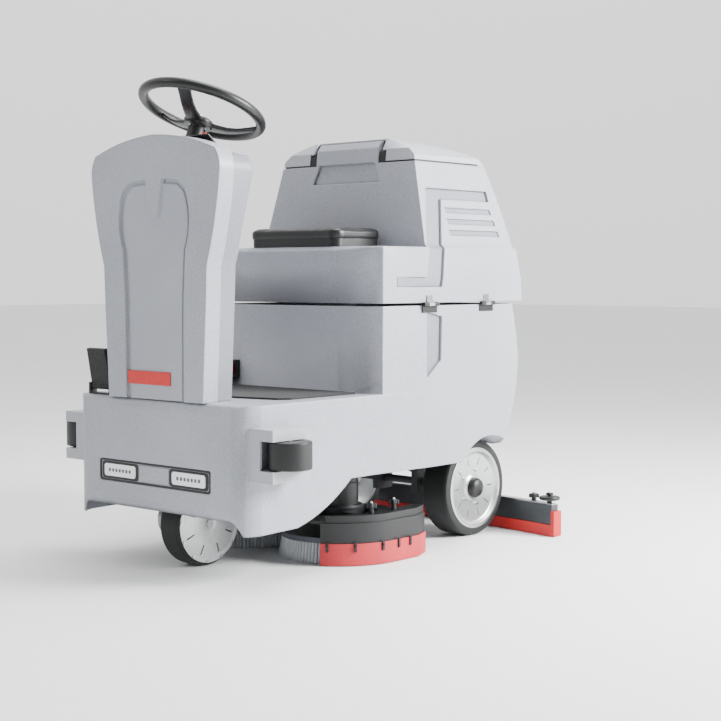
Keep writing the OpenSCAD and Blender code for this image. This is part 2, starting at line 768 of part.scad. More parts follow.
deck_pivot_y = brush_y;
deck_pivot_z = 160;
skirt_r = brush_r + 12;
deck_half_w = brush_x + skirt_r;
module deck_lift_arms() {
    dy = arm_pivot_y - deck_pivot_y;
    dz = arm_pivot_z - deck_pivot_z;
    color(dark) {
        for (s = [-1, 1]) difference() {
            translate([s * arm_x - arm_t / 2, deck_pivot_y, deck_pivot_z])
                rotate([atan2(dz, dy), 0, 0]) union() {
                    translate([0, 0, -14]) cube([arm_t, norm([dy, dz]), 28]);
                    rod_x([0, arm_t], 0, 0, 16);
                    rod_x([0, arm_t], norm([dy, dz]), 0, 16);
                }
            rod_x([-big, big], arm_pivot_y, arm_pivot_z, pivot_r + fit);
            rod_x([-big, big], deck_pivot_y, deck_pivot_z, pivot_r + fit);
        }
        block([-arm_x, arm_x], [arm_pivot_y - 110, arm_pivot_y - 90],
            [arm_pivot_z - 62, arm_pivot_z - 40]);
    }
}
module brush_deck() {
    color(dark) difference() {
        union() {
            pair() rod_z(brush_x, brush_y, [deck_plate_z, deck_plate_z + 8], brush_r - 6);
            block([-brush_x, brush_x], [brush_y - 110, brush_y + 110],
                [deck_plate_z, deck_plate_z + 8]);
            pair() {
                block([arm_x + arm_t / 2 + 1, arm_x + arm_t / 2 + 11],
                    [deck_pivot_y - 22, deck_pivot_y + 22],
                    [deck_plate_z + 7, deck_pivot_z + 18]);
                // side brackets that carry the skirts
                block([brush_x + 60, deck_half_w - 20], [brush_y - 60, brush_y - 36],
                    [deck_plate_z + 7, deck_plate_z + 21]);
                block([brush_x + 60, deck_half_w - 20], [brush_y + 36, brush_y + 60],
                    [deck_plate_z + 7, deck_plate_z + 21]);
            }
            rod_x([-arm_x - arm_t / 2 - 11, arm_x + arm_t / 2 + 11], deck_pivot_y,
                deck_pivot_z, pivot_r);
        }
        pair() rod_z(brush_x, brush_y, [0, big], 12 + gap);
    }
}
module brush_motors() {
    z = deck_plate_z + 8 + touch;
    color([0.20, 0.21, 0.22]) pair() {
        rod_z(brush_x, brush_y, [z, z + 26], 66);
        rod_z(brush_x, brush_y, [z + 25, z + 108], 52);
    }
}
module brush_disc(s) {
    color([0.25, 0.27, 0.30]) on_side(s) {
        translate([brush_x, brush_y, 0]) {
            translate([0, 0, 58]) cylinder(h = 16, r = brush_r - 6);
            translate([0, 0, 73]) cylinder(h = deck_plate_z + 6 - 73, r = 12);
        }
    }
}
module bristles(s) {
    color([0.75, 0.78, 0.80]) on_side(s) translate([brush_x, brush_y, 1]) difference() {
        cylinder(h = 57 - touch, r = brush_r);
        translate([0, 0, -1]) cylinder(h = 70, r = brush_r - 66);
    }
}

// Plan line of the side skirt (x, y): round the front of the brush, then straight back.
function skirt_line(t) = concat(
    arc([brush_x, brush_y], skirt_r + t, -64, 0, 12),
    [[deck_half_w + t, brush_y + 110], [deck_half_w - 26 + t, brush_y + 172]]);
function skirt_band(t0, t1) = concat(skirt_line(t0),
    [for (i = [len(skirt_line(t1)) - 1:-1:0]) skirt_line(t1)[i]]);
module skirt_holders() {
    color(dark) pair() {
        translate([0, 0, 48]) linear_extrude(70) polygon(skirt_band(0, 7));
        // flange that hangs the holder on the deck's brackets
        difference() {
            translate([0, 0, deck_plate_z + 21 + touch]) linear_extrude(5)
                polygon(concat([[deck_half_w - 52, brush_y - 90]], skirt_line(-4)
                    , [[deck_half_w - 52, brush_y + 172]]));
            rod_z(brush_x, brush_y, [0, big], brush_r - 50);
        }
        translate([0, 0, 112]) linear_extrude(deck_plate_z + 26 + touch - 112)
            polygon(skirt_band(-4.2, 2));
    }
}
module skirt_rubbers() {
    color([0.87, 0.32, 0.33]) pair()
        translate([0, 0, 2]) linear_extrude(60) polygon(skirt_band(7 + touch, 12));
}
module skirt_fasteners() {
    color([0.08, 0.08, 0.09]) pair() {
        for (dy = [-48, 48]) {
            rod_z(deck_half_w - 30, brush_y + dy,
                [deck_plate_z + 26 + 2 * touch, deck_plate_z + 44], 7);
            rod_z(deck_half_w - 30, brush_y + dy, [deck_plate_z + 43, deck_plate_z + 55], 16);
        }
        for (a = [-58, -36, -12]) translate([brush_x, brush_y, 55]) rotate([0, 90, a])
            translate([0, 0, skirt_r + 12 + touch]) cylinder(h = 4, r = 6);
        for (dy = [20, 70]) rod_x([deck_half_w + 12 + touch, deck_half_w + 16],
            brush_y + dy, 55, 6);
    }
}

// ---------- squeegee ----------

sq_mid = tail_y - 22;
tow_end_y = sq_mid - 12;
function sq_y(x) = sq_mid - squeegee_sweep * pow(x / (overall_w / 2), 2);
// Curved strip in plan from y offset t0 to t1, out to half width w.
function sq_strip(w, t0, t1, n = 24) = concat(
    [for (i = [-n:n]) [w * i / n, sq_y(w * i / n) + t0]],
    [for (i = [n:-1:-n]) [w * i / n, sq_y(w * i / n) + t1]]);
sq_plate_z = squeegee_h + 4;
pivot_top = sq_plate_z + 34;
module squeegee_arms() {
    dy = tow_end_y - tow_pivot_y;
    dz = tow_pivot_z - pivot_top;
    color(dark) difference() {
        union() {
            for (s = [-1, 1]) translate([s * arm_x - arm_t / 2, tow_pivot_y, tow_pivot_z])
                rotate([-atan2(dz, dy), 0, 0]) union() {
                    rod_x([0, arm_t], 0, 0, 16);
                    translate([0, 0, -14]) cube([arm_t, norm([dy, dz]) - 20, 28]);
                }
            block([-arm_x - arm_t / 2, arm_x + arm_t / 2], [tow_end_y - 50, tow_end_y + 16],
                [pivot_top - 12, pivot_top]);
        }
        rod_x([-big, big], tow_pivot_y, tow_pivot_z, pivot_r + fit);
        rod_z(0, tow_end_y, [0, big], 8 + fit);
    }
}
nozzle_foot = squeegee_h - 21;
module squeegee_body() {
    color([0.42, 0.43, 0.45]) {
        difference() {
            translate([0, 0, 26]) linear_extrude(squeegee_h - 26)
                polygon(sq_strip(overall_w / 2 - 12, -16, 17));
            translate([0, 0, 20]) linear_extrude(squeegee_h - 30)
                polygon(sq_strip(overall_w / 2 - 26, -9, 10));
            rod_z(110, sq_mid - 2, [nozzle_foot + 1, big], 18);
        }
        // swing post and suction nozzle
        rod_z(0, tow_end_y, [squeegee_h - 1, pivot_top + 12], 8);
        rod_z(0, tow_end_y, [squeegee_h - 1, pivot_top - 12 - gap], 15);
        difference() {
            rod_z(110, sq_mid - 2, [nozzle_foot, squeegee_h + 40], 23);
            rod_z(110, sq_mid - 2, [0, big], 18);
        }
    }
}
module squeegee_strip() {
    color(bright) difference() {
        translate([0, 0, squeegee_h + touch]) linear_extrude(4)
            polygon(sq_strip(overall_w / 2 - 14, -13, 12));
        rod_z(0, tow_end_y, [0, big], 16);
        rod_z(110, sq_mid - 2, [0, big], 24);
    }
}
module squeegee_blade() {
    blade_half = overall_w / 2;
    color(red) {
        translate([0, 0, 2]) linear_extrude(34) polygon(sq_strip(blade_half - 6, -21, -16.2));
        translate([0, 0, 0.5]) linear_extrude(35.5) polygon(sq_strip(blade_half - 6, 17.2, 22));
        for (s = [-1, 1]) translate([s > 0 ? blade_half - 12 + touch : -blade_half,
            sq_y(blade_half) - 19, 2]) cube([12 - touch, 40, 76]);
    }
}
module squeegee_knobs() {
    color([0.08, 0.08, 0.09]) for (x = [-400, -200, 200, 400] * (overall_w / 1000)) {
        rod_z(x, sq_y(x), [squeegee_h + 4 + 2 * touch, squeegee_h + 16], 6);
        rod_z(x, sq_y(x), [squeegee_h + 15, squeegee_h + 26], 15);
    }
}
end_x = overall_w / 2 - 34;
module squeegee_roller(s) {
    color(dark) on_side(s) {
        rod_z(end_x, sq_y(end_x), [squeegee_h + 4 + 2 * touch, squeegee_h + 14], 8);
        rod_z(end_x, sq_y(end_x), [squeegee_h + 13, squeegee_h + 25], 32);
    }
}
module suction_hose() {
    z0 = squeegee_h + 40 + touch;
    color(dark) rod_z(110, sq_mid - 2, [z0, z0 + 66], 21);
}

// ---------- drawing ----------

chassis_frame();
lower_body();
floor_mat();
column_front_cover();
column_rear_cover();
badge_plate();
headlamp_bezel();
headlamp_lenses();
control_panel();
steering_jacket();
roller_brackets();
batteries();
connector_socket();
solution_pump();
hinge_leaves_body();
suction_hose();
pedal_bracket();
steering_chain();
steering_wheel();
horn_button();
steering_shaft();
steering_lower_shaft();
front_fork();
drive_motor();
front_tyre();
front_rim();
rear_tyre(1);  // rear_tyre_left
rear_tyre(-1);  // rear_tyre_right
rear_rim(1);  // rear_rim_left
rear_rim(-1);  // rear_rim_right
hub_cap(1);  // hub_cap_left
hub_cap(-1);  // hub_cap_right
guide_roller(1);  // guide_roller_left
guide_roller(-1);  // guide_roller_right
accelerator_pedal();
connector_plug();
ignition_key();
stop_button();
recovery_tank();
hinge_leaves_tank();
seat_pad();
vacuum_motor();
tank_lid();
deck_lift_arms();
brush_deck();
brush_motors();
brush_disc(1);  // brush_disc_left
brush_disc(-1);  // brush_disc_right
bristles(1);  // bristles_left
bristles(-1);  // bristles_right
skirt_holders();
skirt_rubbers();
skirt_fasteners();
squeegee_arms();
squeegee_body();
squeegee_strip();
squeegee_blade();
squeegee_knobs();
squeegee_roller(1);  // squeegee_roller_left
squeegee_roller(-1);  // squeegee_roller_right
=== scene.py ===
"""Visual model of a ride-on floor scrubber: bodywork, controls, wheels, brushes and squeegee."""

import logging
import math
from collections.abc import Callable, Iterable, Sequence
from dataclasses import dataclass
from enum import Enum

import bmesh
import bpy
from mathutils import Matrix, Vector


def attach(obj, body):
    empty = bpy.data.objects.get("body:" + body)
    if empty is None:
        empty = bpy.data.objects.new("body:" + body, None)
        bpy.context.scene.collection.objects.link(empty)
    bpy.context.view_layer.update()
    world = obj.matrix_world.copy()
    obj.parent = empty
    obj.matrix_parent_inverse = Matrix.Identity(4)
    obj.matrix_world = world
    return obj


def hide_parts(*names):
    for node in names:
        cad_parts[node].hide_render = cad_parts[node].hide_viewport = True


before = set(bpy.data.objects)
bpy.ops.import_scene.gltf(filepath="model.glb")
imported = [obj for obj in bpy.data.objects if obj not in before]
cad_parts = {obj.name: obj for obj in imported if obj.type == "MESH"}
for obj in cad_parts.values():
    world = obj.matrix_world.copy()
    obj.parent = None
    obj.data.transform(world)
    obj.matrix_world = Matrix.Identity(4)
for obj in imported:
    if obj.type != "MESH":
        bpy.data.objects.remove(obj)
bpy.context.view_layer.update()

LOG = logging.getLogger("scrubber")
MM = 0.001
SIDES = ((-1, "right"), (1, "left"))  # sign of X on each side of the machine
Point2 = tuple[float, float]
Point3 = tuple[float, float, float]


# ---------------------------------------------------------------- colours and finishes

def linear(hex_colour: str) -> tuple[float, float, float, float]:
    """Turns an sRGB hex colour into linear RGBA.

    Args:
        hex_colour: A colour such as "#C5C8D0".

    Returns:
        The linear red, green, blue and an alpha of one.
    """
    channels = [int(hex_colour[i:i + 2], 16) / 255 for i in (1, 3, 5)]
    red, green, blue = (
        c / 12.92 if c <= 0.04045 else ((c + 0.055) / 1.055) ** 2.4 for c in channels)
    return (red, green, blue, 1.0)


def add_node(tree: bpy.types.NodeTree, kind: str, settings: dict | None = None,
             values: dict | None = None, links: dict | None = None) -> bpy.types.Node:
    """Adds one shader node.

    Args:
        tree: The material's node tree.
        kind: The node's type name.
        settings: Properties of the node.
        values: Values of input sockets, by name or index.
        links: Output sockets that feed input sockets, by name or index.

    Returns:
        The new node.
    """
    node = tree.nodes.new(kind)
    for name, value in (settings or {}).items():
        setattr(node, name, value)
    for name, value in (values or {}).items():
        node.inputs[name].default_value = value
    for name, socket in (links or {}).items():
        tree.links.new(socket, node.inputs[name])
    return node


class Pattern(Enum):
    """How a surface was made, which decides how its fine pattern is stretched."""

    GRAINED = (1.0, 1.0, 1.0)
    BRUSHED_X = (0.04, 1.0, 1.0)
    BRUSHED_Z = (1.0, 1.0, 0.04)


@dataclass(frozen=True)
class Finish:
    """One real material, with its pattern sizes in millimetres."""

    name: str
    colour: str
    fleck: str
    roughness: float
    metallic: float = 0.0
    ior: float = 1.5
    grain_mm: float = 3.0
    relief_mm: float = 0.15
    cloud_mm: float = 260.0
    cloud: float = 0.06
    pattern: Pattern = Pattern.GRAINED
    wear: str = ""
    wear_mm: float = 2.5
    wear_amount: float = 0.5
    coat: float = 0.0
    sheen: float = 0.0
    cells: bool = False
    glow: float = 0.0
    edge_mm: float = 0.0

    def material(self) -> bpy.types.Material:
        """Returns the material, made once."""
        return bpy.data.materials.get(self.name) or self._made()

    def _made(self) -> bpy.types.Material:
        """Builds the node tree: flecks and clouds in the colour, grain in the relief.

        Returns:
            The new material.
        """
        made = bpy.data.materials.new(self.name)
        made.use_nodes = True
        tree = made.node_tree
        tree.nodes.clear()
        place = add_node(tree, "ShaderNodeTexCoord").outputs["Object"]
        stretched = add_node(tree, "ShaderNodeMapping", values={"Scale": self.pattern.value},
                             links={"Vector": place}).outputs["Vector"]
        if self.cells:
            fine = add_node(tree, "ShaderNodeTexVoronoi", values={
                "Scale": 1 / (self.grain_mm * MM)},
                links={"Vector": stretched}).outputs["Distance"]
        else:
            fine = add_node(tree, "ShaderNodeTexNoise", values={
                "Scale": 1 / (self.grain_mm * MM), "Detail": 2.0, "Roughness": 0.6},
                links={"Vector": stretched}).outputs["Fac"]
        broad = add_node(tree, "ShaderNodeTexNoise", values={
            "Scale": 1 / (self.cloud_mm * MM), "Detail": 3.0},
            links={"Vector": place}).outputs["Fac"]
        flecks = add_node(tree, "ShaderNodeValToRGB", links={"Fac": fine})
        flecks.color_ramp.elements[0].position = 0.34
        flecks.color_ramp.elements[0].color = linear(self.fleck)
        flecks.color_ramp.elements[1].position = 0.66
        flecks.color_ramp.elements[1].color = linear(self.colour)
        shade = add_node(tree, "ShaderNodeMapRange", values={
            "From Min": 0.3, "From Max": 0.7, "To Min": 1 - self.cloud, "To Max": 1 + self.cloud},
            links={"Value": broad}).outputs["Result"]
        colour = add_node(tree, "ShaderNodeVectorMath", {"operation": "SCALE"}, links={
            0: flecks.outputs["Color"], "Scale": shade}).outputs["Vector"]
        if self.wear:
            colour = self._worn(tree, colour)
        rough = add_node(tree, "ShaderNodeMapRange", values={
            "From Min": 0.25, "From Max": 0.75, "To Min": max(0.03, self.roughness * 0.85),
            "To Max": min(1.0, self.roughness * 1.15)}, links={"Value": fine}).outputs["Result"]
        relief = add_node(tree, "ShaderNodeBump", values={
            "Strength": 0.6, "Distance": self.relief_mm * MM}, links={"Height": fine})
        if self.edge_mm:
            soft = add_node(tree, "ShaderNodeBevel", {"samples": 6},
                            {"Radius": self.edge_mm * MM})
            tree.links.new(soft.outputs["Normal"], relief.inputs["Normal"])
        values = {"Metallic": self.metallic, "IOR": self.ior, "Coat Weight": self.coat,
                  "Coat Roughness": 0.12, "Sheen Weight": self.sheen, "Sheen Roughness": 0.4}
        links = {"Base Color": colour, "Roughness": rough, "Normal": relief.outputs["Normal"]}
        # Painted glow: the surface gives off a faint light in its own colour.
        if self.glow:
            values["Emission Strength"] = self.glow
            values["Emission Color"] = linear(self.colour)
        shader = add_node(tree, "ShaderNodeBsdfPrincipled", values=values, links=links)
        add_node(tree, "ShaderNodeOutputMaterial", links={"Surface": shader.outputs["BSDF"]})
        return made

    def _worn(self, tree: bpy.types.NodeTree,
              colour: bpy.types.NodeSocket) -> bpy.types.NodeSocket:
        """Rubs the wear colour in along the edges.

        Args:
            tree: The material's node tree.
            colour: The unworn colour.

        Returns:
            The colour with worn edges.
        """
        bent = add_node(tree, "ShaderNodeBevel", {"samples": 4},
                        {"Radius": self.wear_mm * MM}).outputs["Normal"]
        flat = add_node(tree, "ShaderNodeNewGeometry").outputs["Normal"]
        same = add_node(tree, "ShaderNodeVectorMath", {"operation": "DOT_PRODUCT"},
                        links={0: bent, 1: flat}).outputs["Value"]
        edge = add_node(tree, "ShaderNodeMapRange", values={
            "From Min": 0.99, "From Max": 0.86, "To Min": 0.0, "To Max": self.wear_amount},
            links={"Value": same}).outputs["Result"]
        mix = add_node(tree, "ShaderNodeMix", {"data_type": "RGBA"}, {7: linear(self.wear)},
                       {0: edge, 6: colour})
        return mix.outputs[2]


# Rotomoulded polyethylene in silver grey: a fine orange-peel grain, satin, flecked darker.
SHELL = Finish("rotomoulded_silver_polyethylene", "#A9ACB4", "#92959E", 0.40, grain_mm=3.4,
               relief_mm=0.22, wear="#C2C5CC", wear_mm=4.0, wear_amount=0.45,
               edge_mm=7.0)
# The same plastic, painted darker as shade, for the column's rear half and the recesses'
# inlays: the same grain, a tone down.
SHELL_SHADE = Finish("polyethylene_painted_shade", "#868991", "#767981", 0.43,
                     grain_mm=3.4, relief_mm=0.22, wear="#A9ACB3", wear_mm=4.0, edge_mm=7.0)
# The lid's plastic is a little paler and smoother.
LID = Finish("rotomoulded_pale_polyethylene", "#B4B7BE", "#A2A5AD", 0.38, grain_mm=3.4,
             relief_mm=0.18, wear="#CACCD2", wear_mm=4.0, edge_mm=5.0)
# Textured black polypropylene of knobs, caps, rollers, seal and lamp frame: fine and dull.
BLACK_PLASTIC = Finish("moulded_black_polypropylene", "#111314", "#0C0D0E", 0.46,
                       grain_mm=1.6, relief_mm=0.08, wear="#25292B", wear_amount=0.4)
# Soft black PVC of the steering wheel: smooth, with a broad low shine.
GRIP = Finish("moulded_black_pvc_grip", "#101213", "#0A0B0C", 0.38, grain_mm=1.8,
              relief_mm=0.12, sheen=0.05)
# Powder-coated black steel: satin, rubbed to grey along its edges.
BLACK_METAL = Finish("powder_coated_black_steel", "#131516", "#0D0E0F", 0.42, grain_mm=1.2,
                     relief_mm=0.06, wear="#4A4D50", wear_mm=1.2, wear_amount=0.6)
# Powder-coated steel of the chassis: dull mid grey, paler along its edges.
FRAME_STEEL = Finish("powder_coated_grey_steel", "#4A4D50", "#404346", 0.5, grain_mm=1.5,
                     relief_mm=0.08, wear="#6C6F72", wear_mm=1.2)
# Bright zinc-plated steel: a cold, slightly cloudy shine.
ZINC = Finish("zinc_plated_steel", "#C9CBCC", "#A9ABAD", 0.28, 1.0, grain_mm=2.0,
              relief_mm=0.03, cloud=0.10)
# Brushed stainless steel of the squeegee's clamping strip: streaked along its length.
STAINLESS = Finish("brushed_stainless_steel", "#D2D3D4", "#A9ABAD", 0.30, 1.0, grain_mm=1.2,
                   relief_mm=0.04, pattern=Pattern.BRUSHED_X)
# Die-cast aluminium, painted silver: pearly, a little orange peel.
RIM_PAINT = Finish("silver_painted_cast_aluminium", "#C6C8C8", "#A6A8A9", 0.34, 0.72,
                   grain_mm=2.2, relief_mm=0.06, coat=0.25, wear="#E4E5E5", wear_mm=1.6)
# Bare die-cast aluminium of the fork and the drive motor: dull and a little blotched.
CAST = Finish("die_cast_aluminium", "#B7B9BB", "#9C9EA0", 0.46, 0.85, grain_mm=2.6,
              relief_mm=0.18, cloud=0.1)
# Enamelled steel of the roller brackets: an even light grey, satin.
BRACKET = Finish("grey_enamelled_steel", "#A9ACB2", "#9B9EA4", 0.42, grain_mm=1.8,
                 relief_mm=0.07, wear="#CDD0D4", wear_mm=1.4)
# Dark anodised aluminium of the squeegee's body: a soft dark shine, streaked along it.
DARK_ALUMINIUM = Finish("dark_anodised_aluminium", "#5A5D60", "#4B4E51", 0.38, 0.75,
                        grain_mm=1.2, relief_mm=0.05, pattern=Pattern.BRUSHED_X,
                        wear="#8E9194", wear_mm=1.2)
# Solid rubber tyre: matt, dusty in the grain.
TYRE = Finish("solid_black_rubber", "#17191A", "#101112", 0.72, grain_mm=3.0, relief_mm=0.2,
              wear="#282B2C", wear_mm=3.0, sheen=0.04)
# Pebbled rubber of the floor mat and the pedal: matt black, in round pebbles.
MAT = Finish("pebbled_black_rubber", "#131415", "#0D0E0F", 0.7, grain_mm=5.0, relief_mm=0.7,
             cells=True, sheen=0.06)
# Grained vinyl of the seat cushion: leathery cells with a low shine.
VINYL = Finish("grained_black_vinyl", "#121415", "#0C0D0E", 0.42, grain_mm=3.2, relief_mm=0.35,
               cells=True, sheen=0.05, coat=0.05)
# Red gum rubber of the squeegee's blade: a strong red, a little cloudy.
RED_RUBBER = Finish("red_gum_rubber", "#C81F1D", "#B41816", 0.5, grain_mm=2.4, relief_mm=0.10,
                    cloud_mm=120.0, cloud=0.10, wear="#D8403C", wear_mm=1.5, sheen=0.03)
# Moulded polyurethane of the skirts: a softer and duller red.
SKIRT_RUBBER = Finish("red_moulded_polyurethane", "#BE2B33", "#A9222A", 0.52, grain_mm=2.4,
                      relief_mm=0.10, cloud_mm=120.0, cloud=0.10, wear="#D24A50", wear_mm=1.5)
# Glossy red ABS of the badge, the stop button, the rockers and the plug: clean and shiny.
RED_PLASTIC = Finish("glossy_red_abs", "#CF120E", "#C40F0C", 0.25, grain_mm=4.0,
                     relief_mm=0.02, coat=0.3, cloud=0.03)
# Frosted polycarbonate of the lamps' lenses and the gauge's face: pale all over, painted glow.
LENS = Finish("frosted_polycarbonate", "#EEF1F4", "#DFE4E9", 0.16, grain_mm=6.0,
              relief_mm=0.05, coat=0.6, cloud=0.02, glow=0.12)
# Dark epoxy of the lamps' light-emitting diodes: small glossy dots.
DIODE = Finish("dark_epoxy_diode", "#3A4150", "#2C3240", 0.12, grain_mm=1.5, relief_mm=0.02,
               coat=0.8)
# Extruded nylon bristle: off-white, with grey streaks along it.
NYLON = Finish("extruded_nylon_bristle", "#D5D9DC", "#B3B9BD", 0.42, grain_mm=1.2,
               relief_mm=0.25, pattern=Pattern.BRUSHED_Z, sheen=0.1)
# Polypropylene block that holds the bristles: a dull blue grey.
BRUSH_BLOCK = Finish("moulded_grey_polypropylene", "#4C525A", "#40464D", 0.5, grain_mm=2.0,
                     relief_mm=0.1, wear="#6E757D", wear_mm=1.5)
# Matt white vinyl of the studio floor: nearly even.
FLOOR = Finish("matt_white_studio_vinyl", "#F4F5F5", "#F1F2F2", 0.7, grain_mm=30.0,
               relief_mm=0.05, cloud_mm=900.0, cloud=0.01)


# ---------------------------------------------------------------- shaping tools

def placed(name: str, data: bpy.types.ID) -> bpy.types.Object:
    """Puts a new object into the scene.

    Args:
        name: The object's name.
        data: The mesh, light or camera that it holds.

    Returns:
        The object.
    """
    made = bpy.data.objects.new(name, data)
    bpy.context.scene.collection.objects.link(made)
    return made


def coat(mesh: bpy.types.Mesh, finish: Finish) -> None:
    """Gives a mesh this finish and no other."""
    mesh.materials.clear()
    mesh.materials.append(finish.material())


def evaluated(piece: bpy.types.Object) -> bpy.types.Mesh:
    """Works a piece's modifiers out.

    Args:
        piece: The piece, which stays as it is.

    Returns:
        The mesh that its modifiers make.
    """
    bpy.context.view_layer.update()
    graph = bpy.context.evaluated_depsgraph_get()
    return bpy.data.meshes.new_from_object(piece.evaluated_get(graph))


def metres(solid: "Solid", name: str) -> bpy.types.Mesh:
    """Returns a solid in millimetres as a mesh in metres."""
    bmesh.ops.scale(solid.bm, vec=(MM,) * 3, verts=solid.bm.verts)
    return solid.mesh(name)


class Plane(Enum):
    """The plane that an outline is drawn in."""

    XY = "xy"
    XZ = "xz"
    YZ = "yz"

    def point(self, u: float, v: float, w: float) -> Vector:
        """Returns the point at (u, v) in the plane and w along its normal."""
        if self is Plane.XY:
            return Vector((u, v, w))
        return Vector((u, w, v)) if self is Plane.XZ else Vector((w, u, v))


class Solid:
    """A closed mesh in millimetres, shaped with bmesh operators."""

    def __init__(self) -> None:
        """Starts with nothing."""
        self.bm = bmesh.new()

    @classmethod
    def of_node(cls, node: str) -> "Solid":
        """Copies a CAD node's mesh, merged and with its flat faces joined.

        Args:
            node: The CAD node.

        Returns:
            The copy.
        """
        solid = cls()
        solid.bm.from_mesh(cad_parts[node].data)
        bmesh.ops.scale(solid.bm, vec=(1 / MM,) * 3, verts=solid.bm.verts)
        return solid.joined(0.01)

    @classmethod
    def prism(cls, outline: Sequence[Point2], plane: Plane, low: float, high: float) -> "Solid":
        """Extrudes an outline.

        Args:
            outline: Its corners.
            plane: The plane that it lies in.
            low: Where the prism starts along the plane's normal.
            high: Where it ends.

        Returns:
            The prism.
        """
        solid = cls()
        face = solid.bm.faces.new([solid.bm.verts.new(plane.point(u, v, low))
                                   for u, v in outline])
        moved = bmesh.ops.extrude_face_region(solid.bm, geom=[face])["geom"]
        bmesh.ops.translate(solid.bm, vec=plane.point(0, 0, high - low),
                            verts=[g for g in moved if isinstance(g, bmesh.types.BMVert)])
        return solid.outward()

    @classmethod
    def block(cls, low: Point3, high: Point3) -> "Solid":
        """Returns a box between two corners."""
        return cls.prism([(low[0], low[1]), (high[0], low[1]), (high[0], high[1]),
                          (low[0], high[1])], Plane.XY, low[2], high[2])

    @classmethod
    def turned(cls, profile: Sequence[Point2], centre: Point3 = (0, 0, 0), axis: str = "Z",
               steps: int = 64, ring: bool = False) -> "Solid":
        """Spins a profile round an axis.

        Args:
            profile: Points of (radius, distance along the axis).
            centre: Where the axis has its zero.
            axis: X, Y or Z.
            steps: Facets round the axis.
            ring: Whether the last point joins the first one.

        Returns:
            The turned piece.
        """
        solid = cls()
        verts = [solid.bm.verts.new((r, 0, h)) for r, h in profile]
        pairs = list(zip(verts, verts[1:])) + ([(verts[-1], verts[0])] if ring else [])
        edges = [solid.bm.edges.new(pair) for pair in pairs]
        bmesh.ops.spin(solid.bm, geom=verts + edges, cent=(0, 0, 0), axis=(0, 0, 1),
                       angle=2 * math.pi, steps=steps, use_merge=True)
        bmesh.ops.remove_doubles(solid.bm, verts=solid.bm.verts, dist=0.001)
        turn = {"X": Matrix.Rotation(math.pi / 2, 4, "Y"),
                "Y": Matrix.Rotation(-math.pi / 2, 4, "X"), "Z": Matrix.Identity(4)}[axis]
        return solid.outward().moved(Matrix.Translation(centre) @ turn)

    @classmethod
    def swept(cls, section: Sequence[Point2], stations: Sequence[Matrix]) -> "Solid":
        """Extrudes a section from station to station.

        Args:
            section: Corners of the section, in the stations' XY planes.
            stations: Where the section stands, with its turn and scale.

        Returns:
            The swept piece.
        """
        solid = cls()
        flat = [Vector((u, v, 0)) for u, v in section]
        face = solid.bm.faces.new([solid.bm.verts.new(stations[0] @ p) for p in flat])
        for station in stations[1:]:
            made = bmesh.ops.extrude_discrete_faces(solid.bm, faces=[face])["faces"]
            face = made[0]
            for vert, point in zip(face.verts, flat):
                vert.co = station @ point
        start = [e for e in solid.bm.edges if e.is_boundary]
        bmesh.ops.holes_fill(solid.bm, edges=start, sides=0)
        return solid.outward()

    @classmethod
    def hull(cls, points: Iterable[Vector]) -> "Solid":
        """Wraps points in their convex hull.

        Args:
            points: The points, in millimetres.

        Returns:
            The hull.
        """
        solid = cls()
        made = bmesh.ops.convex_hull(solid.bm, input=[solid.bm.verts.new(p) for p in points])
        spare = {g for g in made["geom_interior"] + made["geom_unused"]
                 if isinstance(g, bmesh.types.BMVert)}
        bmesh.ops.delete(solid.bm, geom=list(spare), context="VERTS")
        return solid.outward()

    def outward(self) -> "Solid":
        """Points every face outwards."""
        bmesh.ops.recalc_face_normals(self.bm, faces=self.bm.faces)
        return self

    def joined(self, distance: float = 0.002) -> "Solid":
        """Merges doubled points and joins faces that lie in one plane.

        Args:
            distance: How near doubled points lie, in millimetres.

        Returns:
            This solid.
        """
        bmesh.ops.remove_doubles(self.bm, verts=self.bm.verts, dist=distance)
        bmesh.ops.dissolve_limit(self.bm, angle_limit=math.radians(0.5), verts=self.bm.verts,
                                 edges=self.bm.edges)
        return self

    def moved(self, place: Matrix) -> "Solid":
        """Moves, turns or mirrors the solid.

        Args:
            place: The transform, in millimetres.

        Returns:
            This solid.
        """
        bmesh.ops.transform(self.bm, matrix=place, verts=self.bm.verts)
        if place.determinant() < 0:
            bmesh.ops.reverse_faces(self.bm, faces=self.bm.faces)
        return self

    def mesh(self, name: str = "scratch") -> bpy.types.Mesh:
        """Returns the solid as a mesh in millimetres."""
        mesh = bpy.data.meshes.new(name)
        self.bm.to_mesh(mesh)
        return mesh

    def copy(self) -> "Solid":
        """Returns a copy."""
        twin = Solid()
        twin.bm = self.bm.copy()
        return twin

    def with_(self, *others: "Solid") -> "Solid":
        """Adds other solids' meshes, uncut.

        Args:
            others: What to add.

        Returns:
            This solid.
        """
        for other in others:
            self.bm.from_mesh(other.mesh())
        return self

    def combined(self, other: "Solid", operation: str) -> "Solid":
        """Cuts, adds or keeps what two solids share.

        Args:
            other: The second solid.
            operation: DIFFERENCE, UNION or INTERSECT.

        Returns:
            This solid, changed.
        """
        target, tool = placed("target", self.mesh()), placed("tool", other.mesh())
        boolean = target.modifiers.new("cut", "BOOLEAN")
        boolean.operation, boolean.object, boolean.solver = operation, tool, "EXACT"
        result = evaluated(target)
        self.bm.clear()
        self.bm.from_mesh(result)
        for temporary in (target, tool):
            bpy.data.objects.remove(temporary)
        return self

    def cut(self, *others: "Solid") -> "Solid":
        """Takes other solids away.

        Args:
            others: What to take away.

        Returns:
            This solid.
        """
        for other in others:
            self.combined(other, "DIFFERENCE")
        return self

